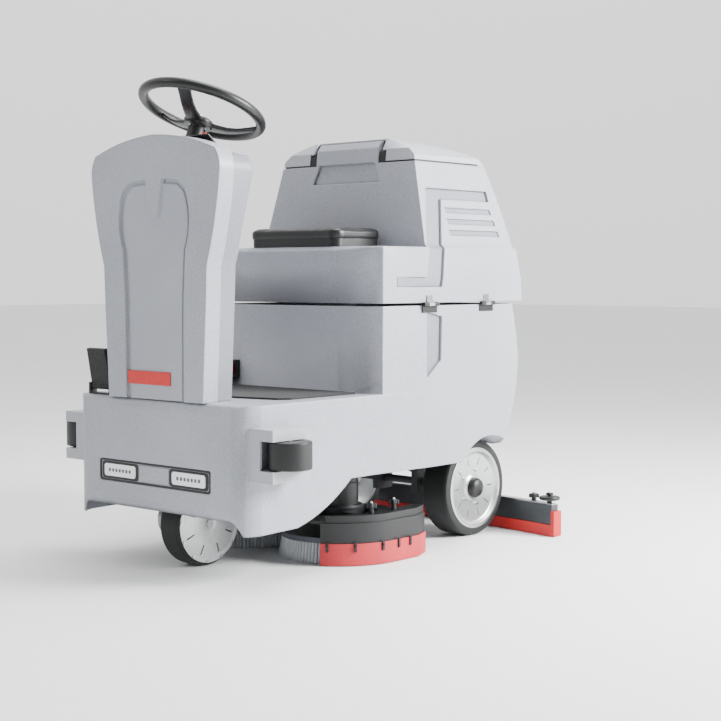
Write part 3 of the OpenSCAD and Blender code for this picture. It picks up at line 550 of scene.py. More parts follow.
    def rounded(self, width: float, segments: int = 3, angle: float = 30.0,
                where: Callable[[Vector], bool] | None = None, clamp: bool = True) -> "Solid":
        """Rounds the edges that are sharper than an angle.

        Args:
            width: The width of the rounding.
            segments: Its facets.
            angle: The least angle between faces, in degrees.
            where: Whether an edge is taken, from its middle.
            clamp: Whether roundings stop short of each other.

        Returns:
            This solid.
        """
        limit = math.radians(angle)
        edges = [e for e in self.bm.edges if e.is_manifold and e.calc_face_angle(0) > limit
                 and (where is None or where((e.verts[0].co + e.verts[1].co) / 2))]
        bmesh.ops.bevel(self.bm, geom=edges, offset=width, offset_type="OFFSET",
                        segments=segments, profile=0.5, affect="EDGES", material=-1,
                        clamp_overlap=clamp)
        return self


def mirrored(solid: Solid) -> Solid:
    """Returns a copy on the other side of the middle plane."""
    return solid.copy().moved(Matrix.Scale(-1, 4, (1, 0, 0)))


def bowed(start: Point2, end: Point2, bow: float, count: int = 8) -> list[Point2]:
    """Draws a line that bows out to the right of its way.

    Args:
        start: Its first point.
        end: Its last point.
        bow: How far its middle stands out.
        count: Its pieces.

    Returns:
        The points, both ends included.
    """
    p, q = Vector(start), Vector(end)
    way = q - p
    side = Vector((way.y, -way.x)).normalized()
    steps = [i / count for i in range(count + 1)]
    return [tuple(p + way * t + side * 4 * bow * t * (1 - t)) for t in steps]


def both(half: Sequence[Point2]) -> list[Point2]:
    """Returns a half outline and its mirror image as one outline."""
    return list(half) + [(-x, y) for x, y in reversed(half) if abs(x) > 1e-6]


def rounded_box(width: float, height: float, radius: float, centre: Point2 = (0, 0),
                count: int = 6) -> list[Point2]:
    """Draws a rectangle with round corners.

    Args:
        width: Its width.
        height: Its height.
        radius: The corners' radius.
        centre: Its centre.
        count: Facets of each corner.

    Returns:
        The outline.
    """
    points = []
    for k, (sx, sy) in enumerate([(1, 1), (-1, 1), (-1, -1), (1, -1)]):
        cx = centre[0] + sx * (width / 2 - radius)
        cy = centre[1] + sy * (height / 2 - radius)
        for i in range(count + 1):
            a = math.pi / 2 * (k + i / count)
            points.append((cx + radius * math.cos(a), cy + radius * math.sin(a)))
    return points


def publish(solid: Solid, name: str, finish: Finish, body: str, slot: str,
            replaces: Iterable[str] = (), sharp: float = 38.0) -> bpy.types.Object:
    """Makes a finished piece of a solid and puts it on its body.

    Args:
        solid: The shape, in millimetres.
        name: The piece's name.
        finish: Its material.
        body: The body that it rides on.
        slot: A material slot's name; not used.
        replaces: The CAD nodes that it stands for.
        sharp: Edges that turn more than this many degrees stay sharp.

    Returns:
        The piece.
    """
    mesh = metres(solid, name)
    solid.bm.free()
    mesh.shade_smooth()
    mesh.set_sharp_from_angle(angle=math.radians(sharp))
    coat(mesh, finish)
    piece = placed(name, mesh)
    piece.modifiers.new("normals", "WEIGHTED_NORMAL").keep_sharp = True
    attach(piece, body)
    if replaces:
        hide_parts(*replaces)
    LOG.info("%s: %d faces on %s", name, len(mesh.polygons), body)
    return piece


def soften(node: str, finish: Finish, body: str, slot: str, width: float = 1.2,
           segments: int = 2) -> bpy.types.Object:
    """Stands a copy with rounded edges in for a CAD node.

    Args:
        node: The CAD node.
        finish: The copy's material.
        body: The body that it rides on.
        slot: A material slot's name, handed on to publish.
        width: Width of the rounding.
        segments: Facets of the rounding.

    Returns:
        The piece.
    """
    solid = Solid.of_node(node).rounded(width, segments)
    return publish(solid, f"{node}_finished", finish, body, slot, [node])


def dress(node: str, finish: Finish) -> None:
    """Gives a CAD node that stays its material."""
    coat(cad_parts[node].data, finish)
    LOG.info("%s dressed in %s", node, finish.name)


# ---------------------------------------------------------------- sub-assemblies

@dataclass
class Bodywork:
    """The moulded shells: lower body, upper tank, lid and steering column."""

    wall: float = 8.0
    tank_y: float = -110.0
    back_y: float = 122.0
    rim_z: float = 1130.0
    deck_z: float = 878.0
    half_w: float = 350.0
    top_half_w: float = 266.0
    seat_half_w: float = 326.0
    recess: float = 9.0
    # Thickness of the darker inlays that paint shade on the floors of the recesses.
    shade_inlay_height: float = 1.2
    swoosh: tuple[Point2, ...] = ((175, 1052), (470, 1052), (472, 1020), (237, 1020),
                                  (200, 885), (173, 763), (-20, 763), (-20, 792),
                                  (105, 792), (130, 885))
    flank_pocket: tuple[Point2, ...] = ((104, 694), (173, 678), (169, 551), (105, 501))
    vent_rows: tuple[Point2, ...] = ((988, 474), (955, 484), (922, 494))
    vent_start: float = 252.0
    vent_height: float = 17.0
    vent_depth: float = 5.0
    axle: Point2 = (410.0, 147.0)
    arch_r: float = 165.4
    liner_wall: float = 3.6
    rear_from: Point2 = (330.0, 243.0)
    seal_height: float = 5.0
    notch: Point2 = (136.0, 154.0)
    notch_height: float = 37.0
    latch_gap: float = 1.5
    panel_y: float = -612.0
    groove_width: float = 12.0
    groove_depth: float = 4.0

    def side_outline(self, inset: float) -> list[Point2]:
        """Draws the tank's outline from the front.

        Args:
            inset: How far inside its skin.

        Returns:
            The outline in (x, z).
        """
        return both([(0, 690), (self.half_w - inset, 690), (self.half_w - inset, 790),
                     (self.half_w - 10 - inset, self.deck_z - 4),
                     (self.seat_half_w - inset, self.deck_z + 8),
                     (self.top_half_w - inset, self.rim_z + 2), (0, self.rim_z + 2)])

    def back_outline(self, inset: float) -> list[Point2]:
        """Draws the tall tank's front slope from the side, as an outline in (y, z)."""
        return [(self.back_y + inset, self.deck_z - 4), (self.back_y + 26 + inset, 1131),
                (900, 1131), (900, self.deck_z - 4)]

    def sink(self, shell: Solid, region: Solid, skin: Callable[[float], Solid]) -> None:
        """Sinks a region of a shell's skin and backs it with as much wall.

        Args:
            shell: The shell.
            region: A block that passes through the skin where it sinks.
            skin: Draws the solid inside the skin at an inset.
        """
        backing = region.copy().combined(skin(self.wall - 1), "INTERSECT")
        backing.cut(skin(self.wall + self.recess))
        shell.combined(backing, "UNION")
        shell.cut(region.cut(skin(self.recess)))

    def shade_inlay(self, region: Solid, skin: Callable[[float], Solid], depth: float) -> Solid:
        """Draws the thin darker inlay that paints shade on the floor of a recess.

        Args:
            region: A block that passes through the skin over the recess.
            skin: Draws the solid inside the skin at an inset.
            depth: How deep the recess is.

        Returns:
            The inlay of painted shade.
        """
        shade_inlay = region.copy().combined(skin(depth - self.shade_inlay_height), "INTERSECT")
        return shade_inlay.cut(skin(depth + 1))

    def tank(self) -> None:
        """Moulds the upper tank with its side swoosh, vents and finger pocket."""
        shell = Solid.of_node("recovery_tank")

        def sides(inset: float) -> Solid:
            """Returns what lies inside the tank's sides at an inset."""
            return Solid.prism(self.side_outline(inset), Plane.XZ, -700, 700)

        def slope(inset: float) -> Solid:
            """Returns what lies behind the tank's front slope at an inset."""
            return Solid.prism(self.back_outline(inset), Plane.YZ, -400, 400)

        half = self.vent_height / 2
        # Darker inlays paint shade on the floors of the swoosh and the vents.
        shade_inlays = Solid()
        for low, high in ((200, 360), (-360, -200)):
            swoosh = Solid.prism(self.swoosh, Plane.YZ, low, high)
            shade_inlays.with_(self.shade_inlay(swoosh, sides, self.recess))
            self.sink(shell, swoosh, sides)
            for z, end in self.vent_rows:
                vent = Solid.prism([(self.vent_start, z - half), (end, z - half),
                                    (end - 6, z + half), (self.vent_start - 6, z + half)],
                                   Plane.YZ, low, high)
                shade_inlays.with_(self.shade_inlay(vent, sides, self.vent_depth))
                shell.cut(vent.cut(sides(self.vent_depth)))
        pocket = both([(0, 1074), (134, 1074), (112, 1131.5), (0, 1131.5)])
        self.sink(shell, Solid.prism(pocket, Plane.XZ, 60, 190), slope)
        shell.joined().rounded(5, 3, 34, self.deck_front, clamp=False)
        publish(shell, "upper_tank_shell", SHELL, "tank", "shell", ["recovery_tank"])
        publish(shade_inlays, "tank_shade_inlays", SHELL_SHADE, "tank", "shell_shade")

    def deck_front(self, middle: Vector) -> bool:
        """Tells the edge at the front of the seat deck from the tank's other edges."""
        return abs(middle.z - self.deck_z) < 14 and middle.y < self.tank_y + 40

    def lower(self) -> None:
        """Moulds the lower body with its flank pockets and lined wheel arches."""
        shell = Solid.of_node("lower_body")

        def flanks(inset: float) -> Solid:
            """Returns a block inside the flanks at an inset."""
            edge = self.half_w - inset
            return Solid.block((-edge, -700, 0), (edge, 700, 720))

        # Darker inlays paint shade on the floors of the flank pockets.
        shade_inlays = Solid()
        for low, high in ((300, 360), (-360, -300)):
            pocket = Solid.prism(self.flank_pocket, Plane.YZ, low, high)
            shade_inlays.with_(self.shade_inlay(pocket, flanks, self.recess))
            self.sink(shell, pocket, flanks)
        publish(shade_inlays, "flank_shade_inlays", SHELL_SHADE, "base", "shell_shade")
        rear = Solid.hull([vert.co for vert in shell.bm.verts
                           if vert.co.y > self.rear_from[0] and vert.co.z > self.rear_from[1]])
        shell.joined()
        publish(shell, "lower_body_shell", SHELL, "base", "shell", ["lower_body"])
        arc = [math.radians(a) for a in range(50, 149, 3)]
        liner = Solid.prism(
            [(self.axle[0] + radius * math.cos(a), self.axle[1] + radius * math.sin(a))
             for radius, angles in ((self.arch_r + self.liner_wall, arc),
                                    (self.arch_r, reversed(arc))) for a in angles],
            Plane.YZ, 182, self.half_w - 1)
        liner.with_(mirrored(liner)).combined(rear, "INTERSECT")
        publish(liner, "wheel_arch_liners", SHELL, "base", "shell")

    def lid(self) -> None:
        """Moulds the lid over its inset seal, and the two latches in its notches."""
        lid = Solid.of_node("tank_lid")
        line = Solid.block((-400, 60, 1100), (400, 452, self.rim_z + self.seal_height))
        seal = lid.copy().combined(line, "INTERSECT")
        seal.moved(Matrix.Translation((0, 300, 0)) @ Matrix.Diagonal((0.989, 0.975, 1, 1))
                   @ Matrix.Translation((0, -300, 0)))
        notch = Solid.block((self.notch[0], 100, 1120),
                            (self.notch[1], 185, self.rim_z + self.notch_height))
        lid.cut(line, notch, mirrored(notch))
        publish(lid, "tank_lid_shell", LID, "lid", "lid", ["tank_lid"])
        publish(seal, "lid_seal", BLACK_PLASTIC, "lid", "black_plastic")
        foot, top = self.rim_z - 4, self.rim_z + self.notch_height - 2
        latch = Solid.prism([(151, foot), (154, top - 2), (158, top), (182, top), (182, foot)],
                            Plane.YZ, 125.5, self.notch[1] - self.latch_gap).rounded(1.5, 2)
        publish(latch.with_(mirrored(latch)), "lid_latches", BLACK_PLASTIC, "tank",
                "black_plastic")

    def panel_outline(self, inset: float) -> list[Point2]:
        """Draws half of the column's front panel, in (x, z), at an inset."""
        return [(0, 466), (116 - inset, 466), (118 - inset, 731), (126 - inset, 863),
                *bowed((126 - inset, 863), (126 - inset, 1026 - inset), 16)[1:],
                (95 - inset / 2, 1047 - inset), (0, 1053 - inset)]

    def column(self) -> None:
        """Moulds the two halves of the steering column, the front one grooved."""
        front = Solid.of_node("column_front_cover")
        groove = Solid.prism(both(self.panel_outline(0.5)), Plane.XZ, self.panel_y - 1,
                             self.panel_y + self.groove_depth)
        groove.cut(Solid.prism(both(self.panel_outline(self.groove_width)), Plane.XZ, -620, -600))
        front.cut(groove.cut(Solid.block((-36, -630, 940), (36, -600, 1070))))
        publish(front, "column_front_shell", SHELL, "base", "shell", ["column_front_cover"])
        # The rear half is the same plastic, painted darker as shade.
        rear = Solid.of_node("column_rear_cover")
        publish(rear, "column_rear_shell", SHELL_SHADE, "base", "shell_shade",
                ["column_rear_cover"])

    def build(self) -> None:
        """Builds every shell."""
        self.lower()
        self.tank()
        self.lid()
        self.column()


@dataclass
class Lamps:
    """The two lamps and their frame in the nose."""

    nose: float = -625.0
    middle: float = 263.0
    lamp_x: float = 139.0
    diodes: int = 7

    def slab(self, width: float, height: float, radius: float, x: float, low: float,
             high: float) -> Solid:
        """Returns a rounded slab in the nose, from low to high behind its face."""
        return Solid.prism(rounded_box(width, height, radius, (x, self.middle)), Plane.XZ,
                           self.nose + low, self.nose + high)

    def build(self) -> None:
        """Builds the frame, the housings, the lenses and the diodes."""
        rim = self.slab(448, 60, 11, 0, 0.1, 2.9).cut(self.slab(438, 50, 8, 0, -5, 20))
        for side in (-1, 1):
            rim.with_(self.slab(152, 47, 9, side * self.lamp_x, 1.4, 2.7))
        rim.rounded(0.6, 2)
        publish(rim, "lamp_frame", BLACK_PLASTIC, "base", "black_plastic", ["headlamp_bezel"])
        plate = self.slab(122, 46, 3, 0, 1.2, 2.8).rounded(0.6, 2)
        publish(plate, "lamp_centre_plate", SHELL, "base", "shell")
        lenses, dots = Solid(), Solid()
        for side in (-1, 1):
            lens = self.slab(130, 34, 8, side * self.lamp_x, 0.4, 2.2)
            lenses.with_(lens)
            for i in range(self.diodes):
                x = side * self.lamp_x + (i - (self.diodes - 1) / 2) * 14
                dots.with_(self.slab(8.6, 9.5, 2.2, x, -0.1, 0.6))
        lenses.rounded(0.5, 2)
        publish(lenses, "lamp_lenses", LENS, "base", "lens", ["headlamp_lenses"])
        publish(dots, "lamp_diodes", DIODE, "base", "lens")


@dataclass
class Badge:
    """The plain red plate on the column."""

    centre: Point2 = (-26.0, 522.0)
    face: float = -615.0

    def build(self) -> None:
        """Builds the plate with its edges rounded."""
        outline = rounded_box(172, 36, 2.5, self.centre)
        plate = Solid.prism(outline, Plane.XZ, self.face, self.face + 2.8).rounded(0.7, 2)
        publish(plate, "badge_plate_finished", RED_PLASTIC, "base", "red_plastic",
                ["badge_plate"])


@dataclass
class Wheel:
    """One wheel: tyre, rim and hub cap, turned about an axle along X."""

    name: str
    centre: Point3
    radius: float
    bore: float
    width: float
    side: int
    body: str
    replaced: tuple[str, ...]
    slots: int = 10

    def turned(self, profile: Sequence[Point2], ring: bool = True, steps: int = 96) -> Solid:
        """Spins a profile round the axle.

        Args:
            profile: Points of (radius, distance from the wheel's middle, outwards).
            ring: Whether the last point joins the first one.
            steps: Facets round the axle.

        Returns:
            The turned piece, in its place.
        """
        solid = Solid.turned(profile, (0, 0, 0), "X", steps, ring)
        if self.side < 0:
            solid.moved(Matrix.Scale(-1, 4, (1, 0, 0)))
        return solid.moved(Matrix.Translation(self.centre))

    def tyre(self) -> Solid:
        """Returns the tyre, with round shoulders and a moulded side bead."""
        r, b, h = self.radius, self.bore, self.width / 2
        half = [(b, h - 2), (b + 3, h), (b + 6, h), (r - 9, h - 0.6), (r - 4, h - 3),
                (r - 1.2, h - 7.5), (r, h - 14)]
        return self.turned(half + [(x, -z) for x, z in reversed(half)])

    def spoked(self, disc: Solid, low: float, high: float, width: float) -> Solid:
        """Cuts thin radial slots into a disc.

        Args:
            disc: The disc.
            low: Radius where a slot starts.
            high: Radius where it ends.
            width: Width of a slot.

        Returns:
            The cut disc.
        """
        slots = Solid()
        for i in range(self.slots):
            slot = Solid.block((-400, -width / 2, low), (400, width / 2, high))
            slot.moved(Matrix.Rotation(2 * math.pi * (i + 0.5) / self.slots, 4, "X"))
            slots.with_(slot)
        slots.moved(Matrix.Translation((self.centre[0] + self.side * (400 + self.width / 2 - 18),
                                        *self.centre[1:])))
        return disc.cut(slots)

    def bolts(self, angles: Iterable[float], pitch: float, radius: float, low: float,
              high: float) -> None:
        """Sets a ring of bright bolt heads into the wheel's outer face.

        Args:
            angles: Where the bolts stand round the axle, in radians.
            pitch: The ring's radius.
            radius: Radius of a head.
            low: Where a head starts, from the wheel's middle outwards.
            high: Where it ends.
        """
        ring = Solid()
        for a in angles:
            bolt = self.turned([(0, high), (radius, high), (radius, low), (0, low)], False, 6)
            ring.with_(bolt.moved(Matrix.Translation(
                (0, pitch * math.sin(a), pitch * math.cos(a)))))
        publish(ring, f"{self.name}_bolts", ZINC, self.body, "bright")

    def build(self) -> None:
        """Builds the wheel."""
        tyre, rim, *cap = self.replaced
        publish(self.tyre(), f"{self.name}_tyre", TYRE, self.body, "tyre", [tyre], 30)
        b, h = self.bore, self.width / 2
        if cap:
            profile = [(12.1, h - 8), (33, h - 8), (36, h - 9), (42, h - 13.5), (60, h - 13),
                       (88, h - 9.5), (101, h - 8.5), (106, h - 6.5), (110, h - 1.5),
                       (113, h + 0.8), (118, h + 1.2), (b, h - 0.6), (b, -h + 2), (b - 6, -h + 2),
                       (b - 10, h - 22), (46, h - 28), (40, -h + 4), (12.1, -h + 4)]
            disc = self.spoked(self.turned(profile), 70, 94, 3.4)
            self.bolts((2 * math.pi * i / 5 + 0.3 for i in range(5)), 54, 4.6, h - 13, h - 6)
            dome = [(0, h + 16), (10, h + 15.4), (20, h + 13.2), (26, h + 9.5), (29.4, h + 4),
                    (30, h - 3), (30, h - 7.8), (0, h - 7.8)]
            publish(self.turned(dome, False), f"{self.name}_hub_cap", BLACK_PLASTIC, self.body,
                    "black_plastic", cap)
        else:
            profile = [(12.1, h + 1), (24, h + 2.4), (60, h + 3), (84, h + 1.4), (98, h - 1),
                       (101, h + 1.6), (107, h + 1.6), (108, h + 0.4), (b, h + 0.2), (b, -h + 8),
                       (12.1, -h + 8)]
            disc = self.spoked(self.turned(profile), 62, 90, 4.4)
            self.bolts((2 * math.pi * (i + 0.2) / 12 for i in range(12)), 104, 4.2, h - 1,
                       h + 4.2)
        publish(disc, f"{self.name}_rim", RIM_PAINT, self.body, "rim", [rim], 32)


@dataclass
class SteeringWheel:
    """The steering wheel on its leaning shaft."""

    centre: Point3 = (0.0, -440.0, 1246.87)
    lean: float = 21.0
    rim_r: float = 165.0
    grip_r: float = 14.0
    spokes: tuple[float, ...] = (-63.0, 57.0, 177.0)

    def place(self) -> Matrix:
        """Returns the wheel's place in space."""
        return (Matrix.Translation(self.centre)
                @ Matrix.Rotation(-math.radians(self.lean), 4, "X"))

    def spoke(self, angle: float) -> Solid:
        """Returns one curved, flattened spoke.

        Args:
            angle: Where it stands round the hub, in degrees.

        Returns:
            The spoke.
        """
        section = rounded_box(1, 1, 0.3, count=3)
        stations = []
        for radius, height, width, thick, pitch in (
                (20, -40, 50, 14, 0), (44, -39, 46, 13, -4), (76, -35, 40, 11, -10),
                (104, -27, 37, 10, -22), (130, -15, 36, 10, -30), (152, -4, 38, 11, -20),
                (164, -1, 34, 10, -6)):
            stations.append(
                Matrix.Rotation(math.radians(angle), 4, "Z")
                @ Matrix.Translation((radius, 0, height))
                @ Matrix.Rotation(math.radians(90 + pitch), 4, "Y")
                @ Matrix.Diagonal((thick, width, 1, 1)))
        return Solid.swept(section, stations)

    def build(self) -> None:
        """Builds the rim, spokes, hub and horn button."""
        circle = [(self.rim_r + self.grip_r * math.cos(a), self.grip_r * math.sin(a))
                  for a in (2 * math.pi * i / 20 for i in range(20))]
        wheel = Solid.turned(circle, steps=96, ring=True)
        for angle in self.spokes:
            wheel.combined(self.spoke(angle), "UNION")
        hub = Solid.turned([(0, -28), (34, -28), (39, -31), (41, -36), (40, -46), (36, -50),
                            (0, -50)], steps=64)
        wheel.combined(hub, "UNION")
        wheel.cut(Solid.turned([(0, -20), (24.3, -20), (24.3, -60), (0, -60)], steps=64))
        publish(wheel.moved(self.place()), "steering_wheel_finished", GRIP, "steering",
                "black_plastic", ["steering_wheel"], 45)
        horn = Solid.turned([(0, -17.5), (8, -17.8), (15, -18.8), (20, -21), (22, -24.5),
                             (22, -29.5), (0, -29.5)], steps=48)
        publish(horn.moved(self.place()), "horn_button_finished", ZINC, "horn", "bright",
                ["horn_button"])


@dataclass
class StarKnob:
    """A five-lobed hand knob on a stud."""

    lobes: int = 5

    def solid(self, x: float, y: float, low: float, high: float, radius: float) -> Solid:
        """Returns a knob.

        Args:
            x: Its place across the machine.
            y: Its place along the machine.
            low: Height of its neck's foot.
            high: Height of its top.
            radius: Radius over the lobes.

        Returns:
            The knob.
        """
        tall = min(13.0, (high - low) * 0.62)
        head = high - tall
        knob = Solid.turned([(0, high), (radius * 0.62, high), (radius * 0.74, high - 2),
                             (radius * 0.74, head + 2), (radius * 0.62, head), (0, head)],
                            (x, y, 0), steps=30)
        lobe_r = radius * 0.3
        for i in range(self.lobes):
            a = 2 * math.pi * i / self.lobes + 0.4
            reach = radius - lobe_r
            lobe = Solid.turned([(0, high - 1), (lobe_r * 0.8, high - 1), (lobe_r, high - 3),
                                 (lobe_r, head + 2), (lobe_r * 0.8, head + 0.6),
                                 (0, head + 0.6)],
                                (x + reach * math.cos(a), y + reach * math.sin(a), 0), steps=14)
            knob.combined(lobe, "UNION")
        neck = Solid.turned([(0, head + 1), (radius * 0.42, head + 1), (radius * 0.5, low),
                             (0, low)], (x, y, 0), steps=24)
        return knob.combined(neck, "UNION")

    def stud(self, x: float, y: float, top: float) -> Solid:
        """Returns the bright end of the stud above a knob."""
        return Solid.turned([(0, top + 5), (3.2, top + 5), (4, top + 4.2), (4, top - 4),
                             (0, top - 4)], (x, y, 0), steps=16)


@dataclass
class BrushDeck:
    """The brush deck with its motors, brushes, skirts and fittings."""

    brush_x: float = 185.0
    brush_y: float = -85.0
    plate_z: float = 112.0
    skirt_r: float = 190.0
    half_w: float = 375.0
    rings: tuple[int, ...] = (169, 158, 147, 136, 125, 117)
    tuft_gap: float = 10.5
    tuft_z: float = 29.0
    clip_z: Point2 = (40.0, 66.0)
    clip_angles: tuple[int, ...] = (-58, -36, -12)
    knob_steps: tuple[int, ...] = (-48, 48)
    clip_steps: tuple[int, ...] = (20, 70)

    def tufts(self, side: int, name: str) -> None:
        """Sets rings of bristle tufts that splay outwards.

        Args:
            side: 1 for the left brush and -1 for the right one.
            name: The side's name.
        """
        tufts = Solid()
        for ring, radius in enumerate(self.rings):
            count = int(2 * math.pi * radius / self.tuft_gap)
            for i in range(count):
                a = 2 * math.pi * (i + 0.37 * ring) / count
                wobble = math.sin(12.9 * i + 4.1 * ring)
                tilt = math.radians(5.0 - ring * 1.2 + 2.2 * wobble)
                place = (Matrix.Translation((side * self.brush_x, self.brush_y, self.tuft_z))
                         @ Matrix.Rotation(a, 4, "Z") @ Matrix.Translation((radius, 0, 0))
                         @ Matrix.Rotation(-tilt, 4, "Y"))
                bmesh.ops.create_cone(tufts.bm, cap_ends=True, segments=6, radius1=4.6,
                                      radius2=3.2, depth=56, matrix=place)
        publish(tufts, f"bristle_tufts_{name}", NYLON, f"brush_{name}", "bristle",
                [f"bristles_{name}"], 50)

    def fittings(self) -> None:
        """Builds the hand knobs, their studs and the clips over the skirts."""
        knob = StarKnob()
        knobs, studs, clips = Solid(), Solid(), Solid()
        low, high = self.clip_z
        for side in (-1, 1):
            for dy in self.knob_steps:
                x, y = side * (self.half_w - 30), self.brush_y + dy
                knobs.with_(knob.solid(x, y, self.plate_z + 26.4, self.plate_z + 55, 16))
                studs.with_(knob.stud(x, y, self.plate_z + 55))
            for angle in self.clip_angles:
                clip = Solid.block((self.skirt_r + 12.2, -3.5, low),
                                   (self.skirt_r + 16, 3.5, high))
                clip.with_(Solid.turned([(0, 18.6), (3.6, 18), (4.6, 16), (4.6, 12.5),
                                         (0, 12.5)], (self.skirt_r, 0, 55), "X", 16))
                clip.moved(Matrix.Translation((self.brush_x, self.brush_y, 0))
                           @ Matrix.Rotation(math.radians(angle), 4, "Z"))
                clips.with_(clip if side > 0 else mirrored(clip))
            for dy in self.clip_steps:
                clip = Solid.block((self.half_w + 12.2, self.brush_y + dy - 3.5, low),
                                   (self.half_w + 16, self.brush_y + dy + 3.5, high))
                clips.with_(clip if side > 0 else mirrored(clip))
        publish(knobs, "skirt_hand_knobs", BLACK_PLASTIC, "deck", "black_plastic",
                ["skirt_fasteners"])
        publish(studs, "skirt_studs", ZINC, "deck", "bright")
        publish(clips, "skirt_clips", BLACK_PLASTIC, "deck", "black_plastic")

    def motors(self) -> None:
        """Builds the brush motors and their end caps in black steel."""
        foot = self.plate_z + 8.2
        cans, caps = Solid(), Solid()
        for side in (-1, 1):
            centre = (side * self.brush_x, self.brush_y, 0)
            cans.with_(Solid.turned(
                [(0, foot), (66, foot), (66, foot + 20), (62, foot + 25), (52, foot + 27),
                 (52, foot + 88), (0, foot + 88)], centre, steps=64))
            caps.with_(Solid.turned(
                [(0, foot + 88.2), (50, foot + 88.2), (52, foot + 91), (52, foot + 100),
                 (47, foot + 106), (14, foot + 108), (0, foot + 108)], centre, steps=64))
        publish(cans, "brush_motor_cans", BLACK_METAL, "deck", "black_metal", ["brush_motors"])
        publish(caps, "brush_motor_caps", BLACK_METAL, "deck", "black_metal")

    def build(self) -> None:
        """Builds the deck."""
        for side, name in SIDES:
            self.tufts(side, name)
            soften(f"brush_disc_{name}", BRUSH_BLOCK, f"brush_{name}", "disc", 2)
        soften("brush_deck", BLACK_METAL, "deck", "black_metal", 1)
        soften("deck_lift_arms", BLACK_METAL, "deck_arms", "black_metal", 1)
        soften("skirt_holders", BLACK_PLASTIC, "deck", "black_plastic", 1)
        soften("skirt_rubbers", SKIRT_RUBBER, "deck", "red_rubber", 0.8)
        self.motors()
        self.fittings()


@dataclass
class Squeegee:
    """The curved squeegee behind the machine, with its knobs and end rollers."""

    middle: float = 603.0
    sweep: float = 50.0
    half_w: float = 500.0
    top: float = 96.0
    knobs_x: tuple[int, ...] = (-400, -200, 200, 400)

    def line(self, x: float) -> float:
        """Returns where the squeegee's curve lies along the machine, at x across it."""
        return self.middle - self.sweep * (x / self.half_w) ** 2

    def build(self) -> None:
        """Builds the body, strip, blades, arms, knobs and end rollers."""
        soften("squeegee_body", DARK_ALUMINIUM, "squeegee", "grey_metal", 0.8)
        soften("squeegee_strip", STAINLESS, "squeegee", "strip", 0.6)
        soften("squeegee_blade", RED_RUBBER, "squeegee", "blade_rubber", 0.6)
        soften("squeegee_arms", BLACK_METAL, "squeegee_carrier", "black_metal", 1)
        knob = StarKnob()
        knobs, studs = Solid(), Solid()
        for x in self.knobs_x:
            knobs.with_(knob.solid(x, self.line(x), self.top + 4.4, self.top + 26, 17))
            studs.with_(knob.stud(x, self.line(x), self.top + 26))
        publish(knobs, "squeegee_hand_knobs", BLACK_PLASTIC, "squeegee", "black_plastic",
                ["squeegee_knobs"])
        publish(studs, "squeegee_studs", ZINC, "squeegee", "bright")
        for side, name in SIDES:
            x = side * (self.half_w - 34)
            t = self.top
            wheel = Solid.turned([(0, t + 25), (26, t + 25), (30.5, t + 23.5), (32, t + 20.5),
                                  (32, t + 17.5), (30.5, t + 14.5), (26, t + 13), (9, t + 13),
                                  (8, t + 12), (8, t + 4.4), (0, t + 4.4)],
                                 (x, self.line(x), 0), steps=72)
            wheel.with_(knob.solid(x, self.line(x), t + 24, t + 36, 12))
            publish(wheel, f"squeegee_bumper_{name}", BLACK_PLASTIC, f"end_roller_{name}",
                    "black_plastic", [f"squeegee_roller_{name}"])


@dataclass
class Seat:
    """The seat's tray, and its cushion, swollen by a cloth simulation."""

    width: float = 384.0
    front: float = -104.0
    length: float = 222.0
    low: float = 898.0
    high: float = 931.0
    base: float = 878.2
    corner: float = 30.0
    voxel: float = 0.005
    cap: float = 0.006
    pressure: float = 4.0
    frames: int = 20

    def build(self) -> None:
        """Builds the tray, swells a rounded block over it and dresses that in vinyl."""
        centre = (0.0, self.front + self.length / 2)
        tray = Solid.prism(rounded_box(self.width - 34, self.length - 30, 24, centre), Plane.XY,
                           self.base, self.low + 6).rounded(2, 2)
        publish(tray, "seat_tray", BLACK_PLASTIC, "tank", "seat")
        outline = rounded_box(self.width - 14, self.length - 14, self.corner, centre)
        block = Solid.prism(outline, Plane.XY, self.low + 2, self.high - 2).rounded(7, 3, 40)
        cushion = placed("seat_cushion", metres(block, "seat_cushion"))
        remesh = cushion.modifiers.new("voxels", "REMESH")
        remesh.mode, remesh.voxel_size = "VOXEL", self.voxel
        self.apply(cushion)
        rest = [vert.co.copy() for vert in cushion.data.vertices]
        cloth = cushion.modifiers.new("cloth", "CLOTH")
        cloth.settings.use_pressure = True
        cloth.settings.uniform_pressure_force = self.pressure
        cloth.settings.effector_weights.gravity = 0.0
        scene = bpy.context.scene
        for step in range(1, self.frames + 1):
            scene.frame_set(step)
        self.apply(cushion)
        scene.frame_set(1)
        floor = self.low * MM
        for vert, start in zip(cushion.data.vertices, rest):
            move = vert.co - start
            if move.length > self.cap:
                move *= self.cap / move.length
            vert.co = start + move
            vert.co.z = max(vert.co.z, floor)
        mesh = cushion.data
        mesh.shade_smooth()
        coat(mesh, VINYL)
        surface = cushion.modifiers.new("surface", "SUBSURF")
        surface.levels = surface.render_levels = 1
        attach(cushion, "tank")
        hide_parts("seat_pad")
        LOG.info("seat_cushion: %d faces", len(mesh.polygons))

    @staticmethod
    def apply(piece: bpy.types.Object) -> None:
        """Applies a piece's modifiers to its mesh.

        Args:
            piece: The piece.
        """
        mesh = evaluated(piece)
        piece.modifiers.clear()
        piece.data = mesh


